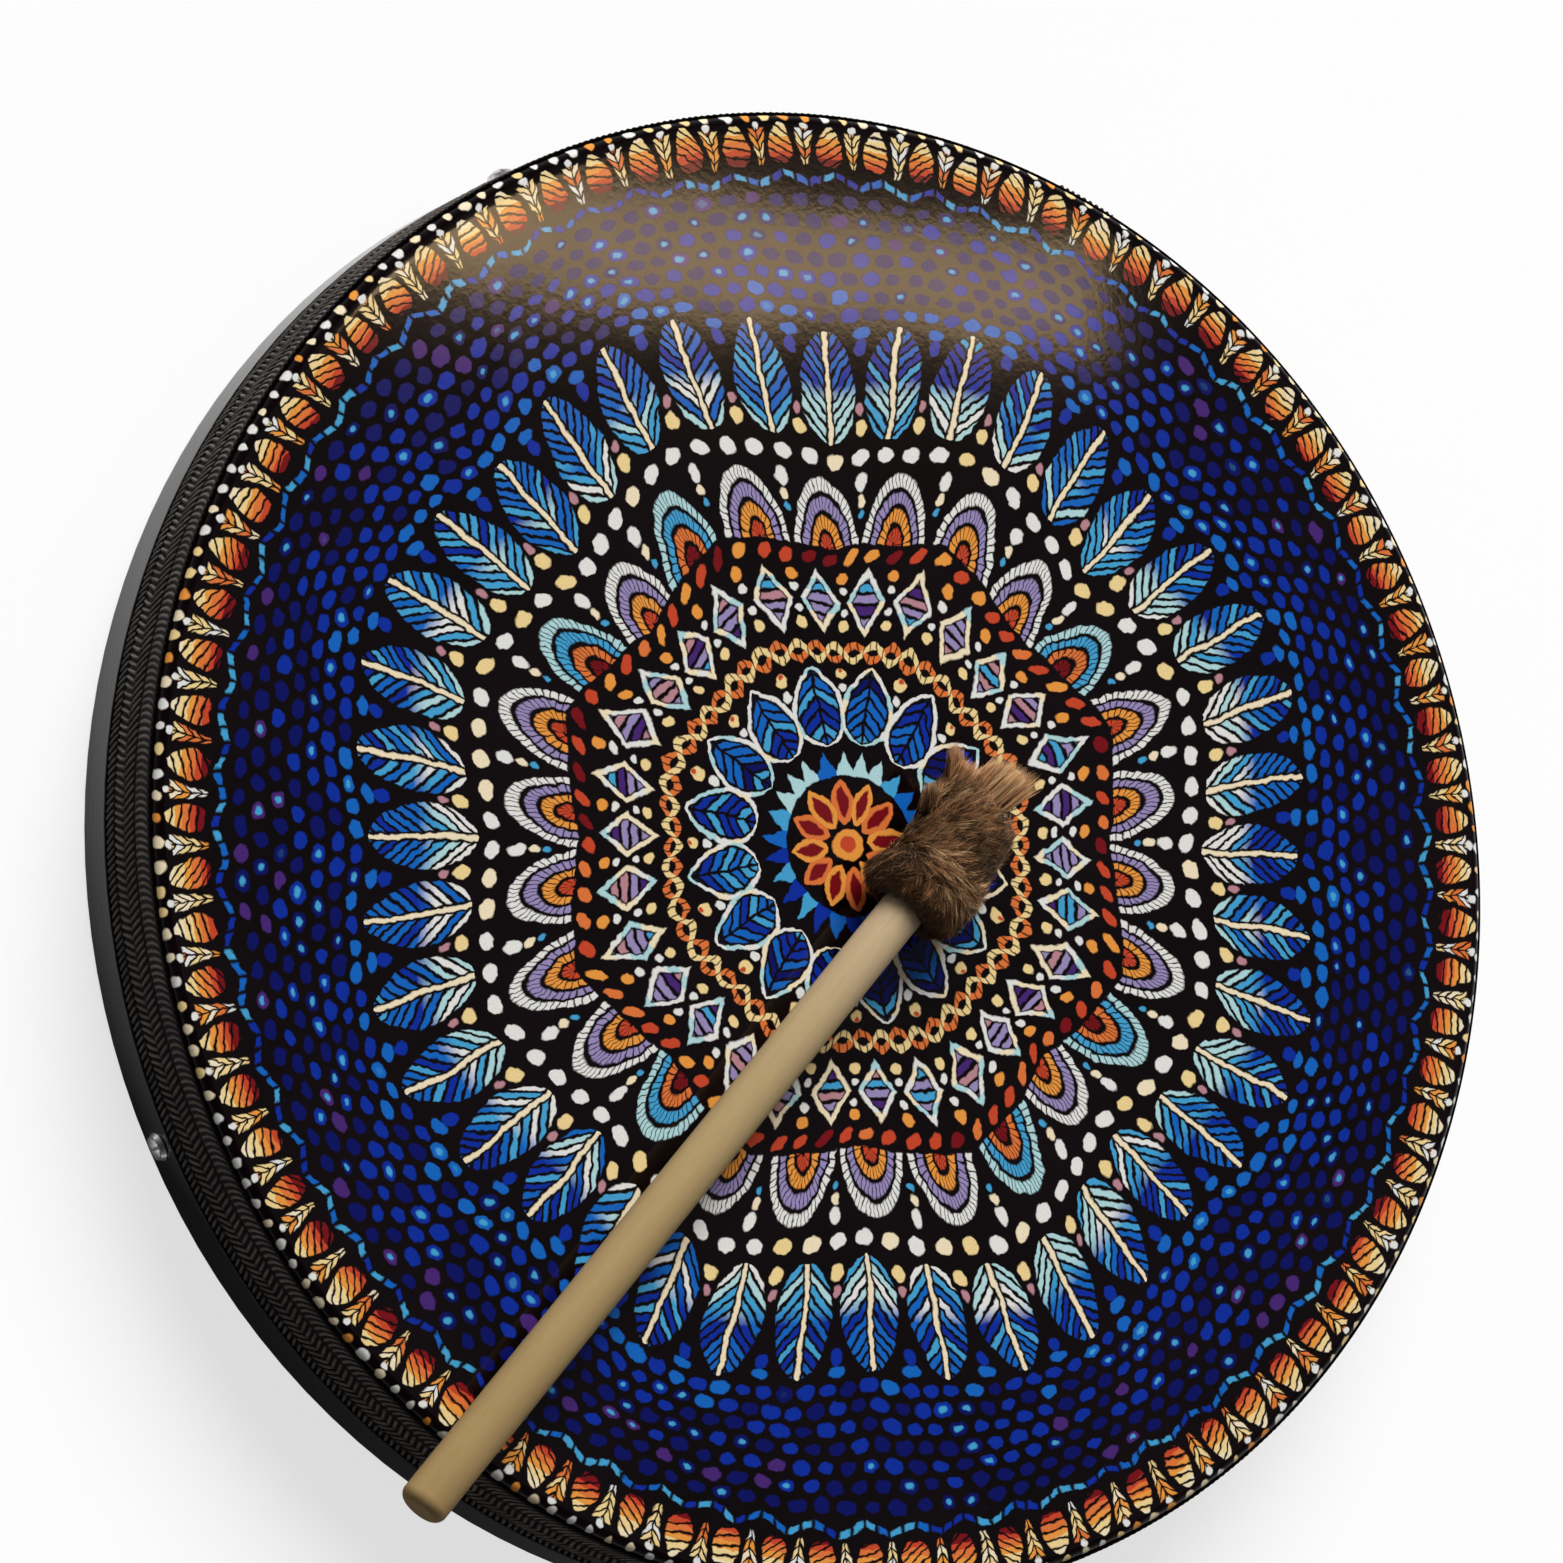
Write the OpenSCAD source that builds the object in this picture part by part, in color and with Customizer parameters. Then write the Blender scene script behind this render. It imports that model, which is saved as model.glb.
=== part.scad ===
// Frame drum lying on its back rim, head up, with a fur-headed beater resting on the head.
// Millimetres. The drum's axis is Z, its back rim stands on z = 0 and the cross handle lies along X and Y.

/* [Shell] */
// outside diameter of the bent hoop
shell_od = 562; // [320:1:700]
// height of the hoop without the skin
shell_depth = 62.8; // [56:0.1:90]
// wall of the hoop
shell_wall = 11; // [8:0.5:14]
// rounding of the outer front edge, over which the skin folds
bearing_round = 2.5; // [2:0.25:3.5]
// chamfer of the inner front edge
inner_chamfer = 3; // [1:0.5:4]
// rounding of both back edges
back_round = 1.5; // [0.5:0.25:2.5]
// depth of the rebate in which the skin and the tape lie flush
rebate = 3; // [2.6:0.1:4]
// height of the rebate's step above the back rim
rebate_z = 20.5; // [18:0.25:23]
// rounding of the step's outer edge
step_round = 0.8; // [0.3:0.1:1.2]

/* [Head] */
// thickness of the skin
skin = 1.1; // [0.9:0.1:1.5]
// height of the skirt's lower edge above the back rim
skirt_bottom = 27; // [25:0.5:34]
// glue line between wood, skin and tape
glue_gap = 0.1; // [0.05:0.05:0.2]

/* [Trim band] */
// thickness of the tape
band_t = 1.2; // [0.9:0.1:1.6]
// gap between the rebate's step and the tape's lower edge
band_seat = 0.2; // [0.1:0.1:0.5]
// distance of the tape's upper edge below the top of the hoop
band_drop = 1.5; // [1:0.1:4]
// radius of the overcast bead along both edges of the tape
bead_r = 0.8; // [0.6:0.1:1.2]
// arc over which the tape's end laps over its start, in degrees
lap_arc = 5; // [3:0.5:9]

/* [Tacks] */
// number of tacks round the skirt
tack_count = 32; // [16:4:48]
// height of the row of tacks
tack_z = 44; // [40:0.5:50]
// diameter of a tack's flat head
tack_head_d = 6.5; // [4:0.25:8]
// diameter of a tack's shank
tack_shank_d = 1.6; // [1.2:0.1:2]
// length of a tack below its head
tack_len = 6; // [4:0.5:7]

/* [Handle] */
// width of both bars
bar_w = 26; // [20:0.5:34]
// thickness of both bars
bar_t = 14; // [12:0.5:16]
// height of the bars' underside above the back rim
bar_lift = 4; // [2:0.25:5]
// rounding of the bars' long edges
bar_round = 4.5; // [2:0.25:5.5]
// depth of the waist worked into both sides of each arm for the fingers
waist_d = 3; // [1:0.25:4.5]
// length of a waist along the arm
waist_len = 110; // [60:2:120]
// distance of a waist's middle from the crossing
waist_at = 78; // [70:1:90]
// play in the half-lap
lap_play = 0.1; // [0.05:0.05:0.3]
// diameter of the dowel through the half-lap
dowel_d = 8; // [5:0.5:10]

/* [Fasteners] */
// shank diameter of a handle screw
screw_d = 4; // [3:0.25:5]
// thread diameter in the bar's end
thread_d = 3.2; // [2.4:0.2:3.6]
// length of a handle screw below the hoop's outside
screw_len = 40; // [28:1:60]
// diameter of the screw's head
screw_head_d = 8.2; // [7:0.2:9]
// diameter of the cup under the head
cup_d = 11.2; // [10.4:0.2:12]
// height of the cup
cup_h = 2.1; // [1.6:0.1:2.6]
// play between a fastener and its hole
bore_play = 0.1; // [0.05:0.05:0.25]

/* [Beater] */
// bare length of the stick from its butt to the neck
stick_bare = 296; // [240:1:300]
// length of the stick inside the head
stick_in = 46; // [40:1:48]
// stick diameter at the butt
butt_d = 18.6; // [15:0.2:20]
// stick diameter at the neck
neck_d = 17.2; // [14:0.2:18]
// rounding of the butt
butt_round = 4; // [2:0.5:6]
// radius of the felt core
core_r = 15.2; // [13:0.2:16]
// radius of the fur cover at its bulge
fur_r = 21; // [19:0.5:24]
// radius of the fur cover towards its end
fur_end_r = 19; // [16:0.5:20]
// distance of the bulge's centre from the neck
fur_bulge = 17; // [15:0.5:19]
// distance between the two centres of the cover's outline
fur_run = 24; // [20:0.5:28]
// distance from the beater's axis to the flat where its head rests
fur_rest = 16.6; // [16.4:0.1:18]
// thickness of the pelt's hem on the stick
neck_pelt = 1.5; // [1:0.25:2]
// distance of the strap from the mouth of the fur
strap_set = 0.5; // [0.25:0.25:1.5]
// width of the strap that ties the hem
strap_w = 6; // [4:0.5:8]
// thickness of the strap
strap_t = 1.2; // [0.8:0.1:1.5]

/* [Placing of the beater] */
// neck of the beater, to the right of the drum's axis
neck_x = 29.4; // [10:0.2:40]
// neck of the beater, behind the drum's axis
neck_y = 0.2; // [-15:0.2:15]
// direction in which the fur end points, in degrees from X
heading = 114.5; // [95:0.5:130]
// gap under the resting beater
rest_gap = 0.3; // [0.2:0.05:0.6]

/* [Hidden] */
fn_hoop = 240;
fn_round = 64;
fn_small = 32;
eps = 0.01;
shell_r = shell_od / 2;
shell_ri = shell_r - shell_wall;
front_r = shell_r - rebate;
skin_in = glue_gap;
skin_out = glue_gap + skin;
head_top = shell_depth + skin_out;
band_in = skin_out + glue_gap;
band_out = band_in + band_t;
band_top = shell_depth - band_drop;
band_bottom = rebate_z + band_seat;
band_step = skirt_bottom - 0.3;
tack_sink = 0.6;
tack_seat = skin_out - tack_sink;
bar_z = bar_lift + bar_t / 2;
screw_r = screw_d / 2;
waist_r = (waist_len * waist_len / 4 + waist_d * waist_d) / (2 * waist_d);
screw_pitch = 0.15;
cup_mouth = screw_head_d / 2 + bore_play;
neck_r = neck_d / 2;
butt_r = butt_d / 2;
core_end = stick_in + 4;
core_round = 6;
pelt_bore = neck_r + bore_play + 0.1;
neck_out = pelt_bore + neck_pelt;
hem_out = 1;
// the pelt is drawn back over its own tie, which leaves a tuck that holds the strap
tuck_r = neck_out + bore_play + strap_t + 0.2;
tuck_end = strap_set + strap_w + 0.5;
core_start = tuck_end + 2.5;
core_fit = 0.3;
fur_far = fur_bulge + fur_run;
fur_lean = asin((fur_r - fur_end_r) / fur_run);
// the stick bears on the flat head where the plan of its axis meets the start of the fold
dir_x = cos(heading);
dir_y = sin(heading);
along = neck_x * dir_x + neck_y * dir_y;
bear_r = front_r - bearing_round;
bear_run = along + sqrt(along * along + bear_r * bear_r - neck_x * neck_x - neck_y * neck_y);
bear_stick = neck_r + (butt_r - neck_r) * bear_run / stick_bare;
tilt = asin((fur_rest - bear_stick) / (fur_bulge + bear_run));
fur_height = head_top + rest_gap + fur_rest;
neck_z = fur_height - fur_bulge * sin(tilt);
echo("overall height of the drum", head_top, "diameter", shell_od, "tape stands under the rim by", rebate - band_out);
echo("beater tilt", tilt, "length", stick_bare + fur_far + fur_end_r);

// four equal places round the hoop, with +X turned outwards
module quarters() {
    for (i = [0 : 3]) {
        rotate([0, 0, 90 * i]) children();
    }
}

// a ring of places for the tacks, with +X turned outwards
module tack_places() {
    for (i = [0 : tack_count - 1]) {
        rotate([0, 0, 360 * (i + 0.5) / tack_count]) translate([0, 0, tack_z]) children();
    }
}

// round bar along +X from x0 to x1
module radial(x0, x1, r, fn = fn_small) {
    translate([x0, 0, 0]) rotate([0, 90, 0]) cylinder(h = x1 - x0, r = r, $fn = fn);
}

// half outline of the rebated hoop grown by a distance, with its front edge rounded
module grown_hoop(d) {
    square([front_r - bearing_round, shell_depth + d]);
    square([front_r + d, shell_depth - bearing_round]);
    translate([front_r - bearing_round, shell_depth - bearing_round]) circle(r = bearing_round + d, $fn = fn_round);
}

// the waste outside a rounded corner that points to +x +y
module corner_waste(r) {
    difference() {
        square([r + 1, r + 1]);
        circle(r = r, $fn = fn_small);
    }
}

module shell_outline() {
    difference() {
        intersection() {
            translate([shell_ri, 0]) square([shell_wall, shell_depth]);
            union() {
                grown_hoop(0);
                square([shell_r, rebate_z]);
            }
        }
        translate([shell_r - step_round, rebate_z - step_round]) corner_waste(step_round);
        translate([shell_r - back_round, back_round]) mirror([0, 1]) corner_waste(back_round);
        translate([shell_ri + back_round, back_round]) rotate(180) corner_waste(back_round);
        translate([shell_ri, shell_depth]) rotate(45) square(inner_chamfer * sqrt(2), center = true);
    }
}

module shell() {
    color([0.04, 0.04, 0.045])
    difference() {
        rotate_extrude($fn = fn_hoop) shell_outline();
        quarters() translate([0, 0, bar_z]) radial(shell_ri - 2, shell_r + 2, screw_r + bore_play);
        tack_places() radial(front_r - tack_len, front_r + 1, tack_shank_d / 2 + bore_play / 2);
    }
}

module drum_head() {
    color([0.12, 0.16, 0.5])
    difference() {
        rotate_extrude($fn = fn_hoop) difference() {
            grown_hoop(skin_out);
            grown_hoop(skin_in);
            square([shell_od, skirt_bottom]);
        }
        tack_places() {
            radial(front_r + tack_seat, front_r + 5, tack_head_d / 2 + bore_play / 2);
            radial(front_r - 2, front_r + 5, tack_shank_d / 2 + bore_play / 2);
        }
    }
}

module head_tacks() {
    tip = 2 * tack_shank_d;
    color([0.55, 0.56, 0.58])
    tack_places() {
        radial(front_r + tack_seat, front_r + skin_out - 0.05, tack_head_d / 2);
        radial(front_r - tack_len + tip, front_r + tack_seat + eps, tack_shank_d / 2);
        translate([front_r - tack_len + tip, 0, 0]) rotate([0, -90, 0])
            cylinder(h = tip - 0.2, r1 = tack_shank_d / 2, r2 = 0.2, $fn = fn_small);
    }
}

module band_outline() {
    translate([front_r + band_in, band_bottom]) square([band_t, band_top - band_bottom]);
    translate([front_r + glue_gap, band_bottom]) square([band_out - glue_gap, band_step - band_bottom]);
    translate([front_r + band_out - bead_r / 2, band_top - bead_r]) circle(r = bead_r, $fn = fn_small);
    translate([front_r + band_out - bead_r / 2, band_bottom + bead_r]) circle(r = bead_r, $fn = fn_small);
}

module trim_band() {
    color([0.07, 0.07, 0.075])
    union() {
        rotate_extrude($fn = fn_hoop) band_outline();
        rotate([0, 0, 130]) rotate_extrude(angle = lap_arc, $fn = fn_hoop)
            translate([front_r + band_out - 0.4, band_bottom + 0.4])
                square([band_t, band_top - band_bottom - 0.8]);
    }
}

// round-edged bar along Y, waisted for the fingers, its ends scribed to the inside of the hoop
module bar_blank() {
    half_w = bar_w / 2 - bar_round;
    half_t = bar_t / 2 - bar_round;
    difference() {
        bar_stock(half_w, half_t);
        for (sx = [-1, 1], sy = [-1, 1]) {
            translate([sx * (bar_w / 2 - waist_d + waist_r), sy * waist_at, 0])
                cylinder(h = shell_depth, r = waist_r, $fn = fn_hoop);
        }
    }
}

module bar_stock(half_w, half_t) {
    intersection() {
        translate([0, shell_r, bar_z]) rotate([90, 0, 0]) linear_extrude(height = 2 * shell_r) {
            square([bar_w, 2 * half_t], center = true);
            square([2 * half_w, bar_t], center = true);
            for (sx = [-1, 1], sy = [-1, 1]) {
                translate([sx * half_w, sy * half_t]) circle(r = bar_round, $fn = fn_small);
            }
        }
        cylinder(h = shell_depth, r = shell_ri - bore_play, $fn = fn_hoop);
    }
}

// what both bars lose: the screws' pilot holes and the dowel's hole
module bar_holes() {
    quarters() translate([0, 0, bar_z]) {
        radial(shell_r - screw_len - 1, shell_r, thread_d / 2 + bore_play / 2);
        radial(shell_ri - 3, shell_r, screw_r + bore_play);
    }
    translate([0, 0, bar_lift - 1]) cylinder(h = bar_t + 2, r = dowel_d / 2 + bore_play / 2, $fn = fn_small);
}

module handle_bar() {
    color([0.72, 0.52, 0.32])
    difference() {
        bar_blank();
        translate([-bar_w, -bar_w / 2 - lap_play, bar_z])
            cube([2 * bar_w, bar_w + 2 * lap_play, bar_t]);
        bar_holes();
    }
}

module handle_cross_bar() {
    color([0.68, 0.48, 0.29])
    difference() {
        rotate([0, 0, 90]) bar_blank();
        translate([-bar_w / 2 - lap_play, -bar_w, bar_z + lap_play - bar_t])
            cube([bar_w + 2 * lap_play, 2 * bar_w, bar_t]);
        bar_holes();
    }
}

module lap_dowel() {
    color([0.45, 0.29, 0.16])
    translate([0, 0, bar_lift]) cylinder(h = bar_t, r = dowel_d / 2, $fn = fn_small);
}

// one handle screw along -Z, its cup standing on z = 0
module handle_screw() {
    head_r = screw_head_d / 2;
    dome = 1.2;
    ball = (head_r * head_r + dome * dome) / (2 * dome);
    shoulder = shell_wall + 2;
    tip = 4;
    difference() {
        union() {
            translate([0, 0, screw_pitch]) cylinder(h = cup_h, r1 = screw_r, r2 = head_r, $fn = fn_small);
            intersection() {
                translate([0, 0, screw_pitch + cup_h]) cylinder(h = dome + 1, r = head_r, $fn = fn_small);
                translate([0, 0, screw_pitch + cup_h + dome - ball]) sphere(r = ball, $fn = fn_round);
            }
            translate([0, 0, -shoulder]) cylinder(h = shoulder + screw_pitch + eps, r = screw_r, $fn = fn_small);
            translate([0, 0, tip - screw_len])
                cylinder(h = screw_len - tip - shoulder + eps, r = thread_d / 2, $fn = fn_small);
            translate([0, 0, -screw_len]) cylinder(h = tip, r1 = 0.3, r2 = thread_d / 2, $fn = fn_small);
        }
        translate([-head_r - 1, -0.6, screw_pitch + cup_h - 0.2]) cube([2 * head_r + 2, 1.2, 4]);
    }
}

module handle_screws() {
    color([0.78, 0.79, 0.8])
    quarters() translate([shell_r, 0, bar_z]) rotate([0, 90, 0]) handle_screw();
}

module screw_cup() {
    rotate_extrude($fn = fn_round)
        polygon([[screw_r + bore_play, 0], [cup_d / 2, 0], [cup_d / 2, 0.5], [cup_d / 2 - 0.5, 1.3],
            [cup_mouth + 0.4, cup_h], [cup_mouth, cup_h]]);
}

module screw_cups() {
    color([0.72, 0.73, 0.75])
    quarters() translate([shell_r, 0, bar_z]) rotate([0, 90, 0]) screw_cup();
}

// local +Z runs from the butt towards the fur, with the neck at 0
module beater_place() {
    translate([neck_x, neck_y, neck_z]) rotate([0, -tilt, heading]) rotate([0, 90, 0]) children();
}

module beater_stick() {
    tip = 2;
    color([0.74, 0.66, 0.53])
    beater_place() rotate_extrude($fn = fn_round) {
        polygon([[0, butt_round - stick_bare], [butt_r, butt_round - stick_bare], [neck_r, 0],
            [neck_r, stick_in - tip], [neck_r - tip, stick_in], [0, stick_in]]);
        translate([0, -stick_bare]) square([butt_r - butt_round, 2 * butt_round]);
        intersection() {
            translate([butt_r - butt_round, butt_round - stick_bare]) circle(r = butt_round, $fn = fn_small);
            translate([0, -stick_bare]) square([butt_r, butt_round]);
        }
    }
}

// half outline of the felt core grown by a distance
module core_outline(d) {
    flat = core_r - core_round;
    translate([0, core_start - d]) square([flat, core_end - core_start + 2 * d]);
    translate([0, core_start + core_round]) square([core_r + d, core_end - core_start - 2 * core_round]);
    intersection() {
        for (z = [core_start + core_round, core_end - core_round]) {
            translate([flat, z]) circle(r = core_round + d, $fn = fn_small);
        }
        translate([0, core_start - d]) square([core_r + d, core_end]);
    }
}

module beater_core() {
    color([0.82, 0.79, 0.72])
    beater_place() difference() {
        rotate_extrude($fn = fn_round) core_outline(0);
        translate([0, 0, -stick_bare]) cylinder(h = stick_bare + stick_in + bore_play, r = neck_r + bore_play, $fn = fn_round);
    }
}

module cover_outline() {
    difference() {
        intersection() {
            union() {
                translate([0, fur_bulge]) circle(r = fur_r, $fn = fn_round);
                translate([0, fur_far]) circle(r = fur_end_r, $fn = fn_round);
                polygon([[0, fur_bulge], [fur_r * cos(fur_lean), fur_bulge + fur_r * sin(fur_lean)],
                    [fur_end_r * cos(fur_lean), fur_far + fur_end_r * sin(fur_lean)], [0, fur_far]]);
            }
            square([2 * fur_r, 2 * fur_far + fur_end_r]);
        }
        translate([0, -hem_out]) square([tuck_r, tuck_end + hem_out]);
    }
    translate([0, -hem_out]) square([neck_out, tuck_end + hem_out + 1]);
}

module beater_cover() {
    color([0.42, 0.31, 0.22])
    difference() {
        beater_place() difference() {
            rotate_extrude($fn = fn_round) cover_outline();
            rotate_extrude($fn = fn_round) core_outline(core_fit);
            translate([0, 0, -2 * hem_out]) cylinder(h = core_start + core_round, r = pelt_bore, $fn = fn_round);
        }
        translate([-shell_r, -shell_r, 0]) cube([shell_od, shell_od, head_top + rest_gap]);
    }
}

module neck_strap() {
    color([0.2, 0.12, 0.07])
    beater_place() translate([0, 0, strap_set]) difference() {
        cylinder(h = strap_w, r = neck_out + bore_play + strap_t, $fn = fn_round);
        translate([0, 0, -1]) cylinder(h = strap_w + 2, r = neck_out + bore_play, $fn = fn_round);
    }
}

shell();
drum_head();
head_tacks();
trim_band();
handle_bar();
handle_cross_bar();
lap_dowel();
handle_screws();
screw_cups();
beater_stick();
beater_core();
beater_cover();
neck_strap();
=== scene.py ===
"""Looks of the frame drum and its fur-headed beater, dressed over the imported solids. Lengths are metres."""

import bpy
import numpy as np
from mathutils import Matrix


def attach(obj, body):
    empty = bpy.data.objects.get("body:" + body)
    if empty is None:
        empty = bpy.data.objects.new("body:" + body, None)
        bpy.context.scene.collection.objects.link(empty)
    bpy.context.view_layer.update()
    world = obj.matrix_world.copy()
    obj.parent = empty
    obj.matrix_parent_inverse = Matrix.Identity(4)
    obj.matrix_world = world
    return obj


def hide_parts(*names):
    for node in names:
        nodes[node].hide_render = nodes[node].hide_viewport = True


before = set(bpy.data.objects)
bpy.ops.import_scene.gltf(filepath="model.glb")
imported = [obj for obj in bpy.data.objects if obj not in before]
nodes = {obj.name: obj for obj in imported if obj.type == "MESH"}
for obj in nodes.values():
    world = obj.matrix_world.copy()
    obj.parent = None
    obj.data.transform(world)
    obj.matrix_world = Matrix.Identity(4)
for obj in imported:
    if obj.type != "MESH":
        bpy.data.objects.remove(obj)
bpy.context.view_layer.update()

TURN = 2.0 * np.pi
MM = 0.001

# The drum's own measures, as the solids have them, and the two seams between the tape's weaves
HEAD_TOP = 64.0 * MM
TAPE_SEAT = 279.35 * MM
TAPE_LOW, SEAM_LOW, SEAM_HIGH, TAPE_HIGH = 20.8 * MM, 29.0 * MM, 48.0 * MM, 61.2 * MM

# The beater's own measures: its neck, the way that its fur end points, and its rise
NECK = np.array([29.4, 0.2, 80.451]) * MM
HEADING, TILT = np.radians(114.5), np.radians(1.515)
ALONG = np.array([np.cos(TILT) * np.cos(HEADING), np.cos(TILT) * np.sin(HEADING), np.sin(TILT)])
ACROSS = np.array([np.sin(HEADING), -np.cos(HEADING), 0.0])
UPWARD = np.cross(ACROSS, ALONG)

# Soft edge of a brush stroke on the print, in mm
BRUSH = 0.5


# Scene and camera
def set_out(name, data):
    """An object for that data, put in the scene."""
    thing = bpy.data.objects.new(name, data)
    bpy.context.scene.collection.objects.link(thing)
    return thing


def set_camera():
    """The camera at the photograph's angle: its columns are the picture's right, up and back."""
    lens = bpy.data.cameras.new("camera")
    lens.lens, lens.sensor_width, lens.sensor_fit = 169.68, 36.0, "HORIZONTAL"
    lens.clip_start, lens.clip_end = 0.1, 100.0
    eye = set_out("camera", lens)
    right = (0.380857, 0.803533, 0.457475)
    up = (-0.923322, 0.356852, 0.141890)
    back = (-0.049238, -0.476437, 0.877829)
    place = (-0.167243, -1.321820, 2.469938)
    eye.matrix_world = Matrix([*zip(right, up, back, place), (0, 0, 0, 1)])
    bpy.context.scene.camera = eye


set_camera()


# Material helpers
def tint(red, green, blue):
    """A colour as seen on a screen, 0 to 255, as the linear colour that a shader takes."""
    seen = np.array([red, green, blue]) / 255.0
    linear = np.where(seen <= 0.04045, seen / 12.92, ((seen + 0.055) / 1.055) ** 2.4)
    return (*linear.tolist(), 1.0)


def feed(socket, value):
    """Sets a socket to a number or colour, or joins it to a level or another socket."""
    if isinstance(value, Level):
        value = value.socket
    if isinstance(value, bpy.types.NodeSocket):
        socket.id_data.links.new(value, socket)
    else:
        socket.default_value = value


def add(tree, kind, inputs=None, **settings):
    """A node of that kind with those settings and inputs."""
    node = tree.nodes.new("ShaderNode" + kind)
    for name, value in settings.items():
        setattr(node, name, value)
    for place, value in (inputs or {}).items():
        feed(node.inputs[place], value)
    return node


def clear_tree(owner):
    """The node tree of a material or a world, emptied."""
    owner.use_nodes = True
    owner.node_tree.nodes.clear()
    return owner.node_tree


def new_finish(name):
    """An empty material with one shader joined to its output."""
    finish = bpy.data.materials.new(name)
    tree = clear_tree(finish)
    shader = add(tree, "BsdfPrincipled")
    add(tree, "OutputMaterial", {0: shader.outputs[0]})
    return finish, shader


class Level:
    """A number at each point of a surface, held by one socket of a material. Arithmetic on it adds Math nodes."""

    def __init__(self, socket):
        self.socket = socket

    def work(self, operation, *others, clamp=False):
        """One Math node on this level and the others."""
        inputs = dict(enumerate((self, *others)))
        return Level(add(self.socket.id_data, "Math", inputs, operation=operation, use_clamp=clamp).outputs[0])

    def __rsub__(self, other):
        return self.work("MULTIPLY_ADD", -1.0, other)

    def clamp(self):
        """The level kept between 0 and 1."""
        return self.work("ADD", 0.0, clamp=True)

    def over(self, soft=BRUSH):
        """1 where the level is above 0, with a soft edge of that width."""
        return self.work("MULTIPLY_ADD", 1.0 / soft, 0.5, clamp=True)

    def fit(self, low, high):
        """From 0 to 1 as the level goes from low to high."""
        return self.work("MULTIPLY_ADD", 1.0 / (high - low), -low / (high - low), clamp=True)

    def bars(self, half, soft):
        """1 in a bar about the middle of each whole step of the level, of that half width and soft edge."""
        return (half - abs(self.fract() - 0.5)).over(soft)


# Each sum or function of a level is the Math node of that kind
for way, operation in (
        ("__add__", "ADD"), ("__sub__", "SUBTRACT"), ("__mul__", "MULTIPLY"), ("__truediv__", "DIVIDE"),
        ("__mod__", "FLOORED_MODULO"), ("__pow__", "POWER"), ("__abs__", "ABSOLUTE"), ("floor", "FLOOR"),
        ("fract", "FRACT"), ("sine", "SINE"), ("least", "MINIMUM"), ("most", "MAXIMUM")):
    setattr(Level, way, lambda self, *others, kind=operation: self.work(kind, *others))


def spot(shader, corner=None, turn=(0, 0, 0)):
    """A surface point in the object's own frame, or in a frame that stands at a corner, turned."""
    point = add(shader.id_data, "TexCoord").outputs["Object"]
    if corner is None:
        return point
    inputs = {"Vector": point, "Location": corner, "Rotation": turn}
    return add(shader.id_data, "Mapping", inputs, vector_type="TEXTURE").outputs[0]


def vector(operation, *values):
    """One Vector Math node on points, lengths and numbers, the first of them a point."""
    node = add(values[0].id_data, "VectorMath", dict(enumerate(values)), operation=operation)
    return node.outputs["Value" if operation == "LENGTH" else "Vector"]


def parts_of(point):
    """The x, y and z of a point as levels."""
    return [Level(s) for s in add(point.id_data, "SeparateXYZ", {0: point}).outputs]


def noise(point, scale, detail, rough):
    """Smooth noise round a half over a point, with that many waves to the metre, one number or one for each axis."""
    if isinstance(scale, tuple):
        point, scale = vector("MULTIPLY", point, scale), 1.0
    inputs = {"Vector": point, "Scale": scale, "Detail": detail, "Roughness": rough}
    return add(point.id_data, "TexNoise", inputs).outputs


def grainy(point, scale, detail=2.0, rough=0.5):
    """Smooth noise as one level."""
    return Level(noise(point, scale, detail, rough)[0])


def chance(cell, seed):
    """A fixed random level from 0 to 1 for each cell."""
    node = add(cell.socket.id_data, "TexWhiteNoise", {"W": cell + seed}, noise_dimensions="1D")
    return Level(node.outputs["Value"])


def ramp(level, stops, steps=False):
    """A colour that follows a level through (place, colour) stops, smoothly or in steps."""
    node = add(level.socket.id_data, "ValToRGB", {0: level})
    node.color_ramp.interpolation = "CONSTANT" if steps else "LINEAR"
    marks = node.color_ramp.elements
    while len(marks) < len(stops):
        marks.new(1.0)
    for mark, (place, colour) in zip(marks, stops):
        mark.position, mark.color = place, colour
    return node.outputs[0]


def even_steps(level, colours):
    """Colours in equal steps as a level goes from 0 to 1."""
    return ramp(level, [(i / len(colours), c) for i, c in enumerate(colours)], steps=True)


def blend(share, under, top):
    """A colour laid over another by a share, a level."""
    return add(share.socket.id_data, "Mix", {0: share, 6: under, 7: top}, data_type="RGBA").outputs[2]


def paint(shader, colour, rough, shine=None):
    """Sets a finish's colour and roughness, and how strongly it shines where that isn't the usual half."""
    feed(shader.inputs["Base Color"], colour)
    feed(shader.inputs["Roughness"], rough)
    if shine is not None:
        feed(shader.inputs["Specular IOR Level"], shine)


def relief(shader, level, depth):
    """Bump of that depth in metres from a level."""
    bump = add(shader.id_data, "Bump", {"Strength": 1.0, "Distance": depth, "Height": level})
    feed(shader.inputs["Normal"], bump.outputs[0])


def dress(node, finish):
    """Gives a solid its finish in every slot."""
    slots = nodes[node].data.materials
    slots.clear()
    slots.append(finish)


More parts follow.
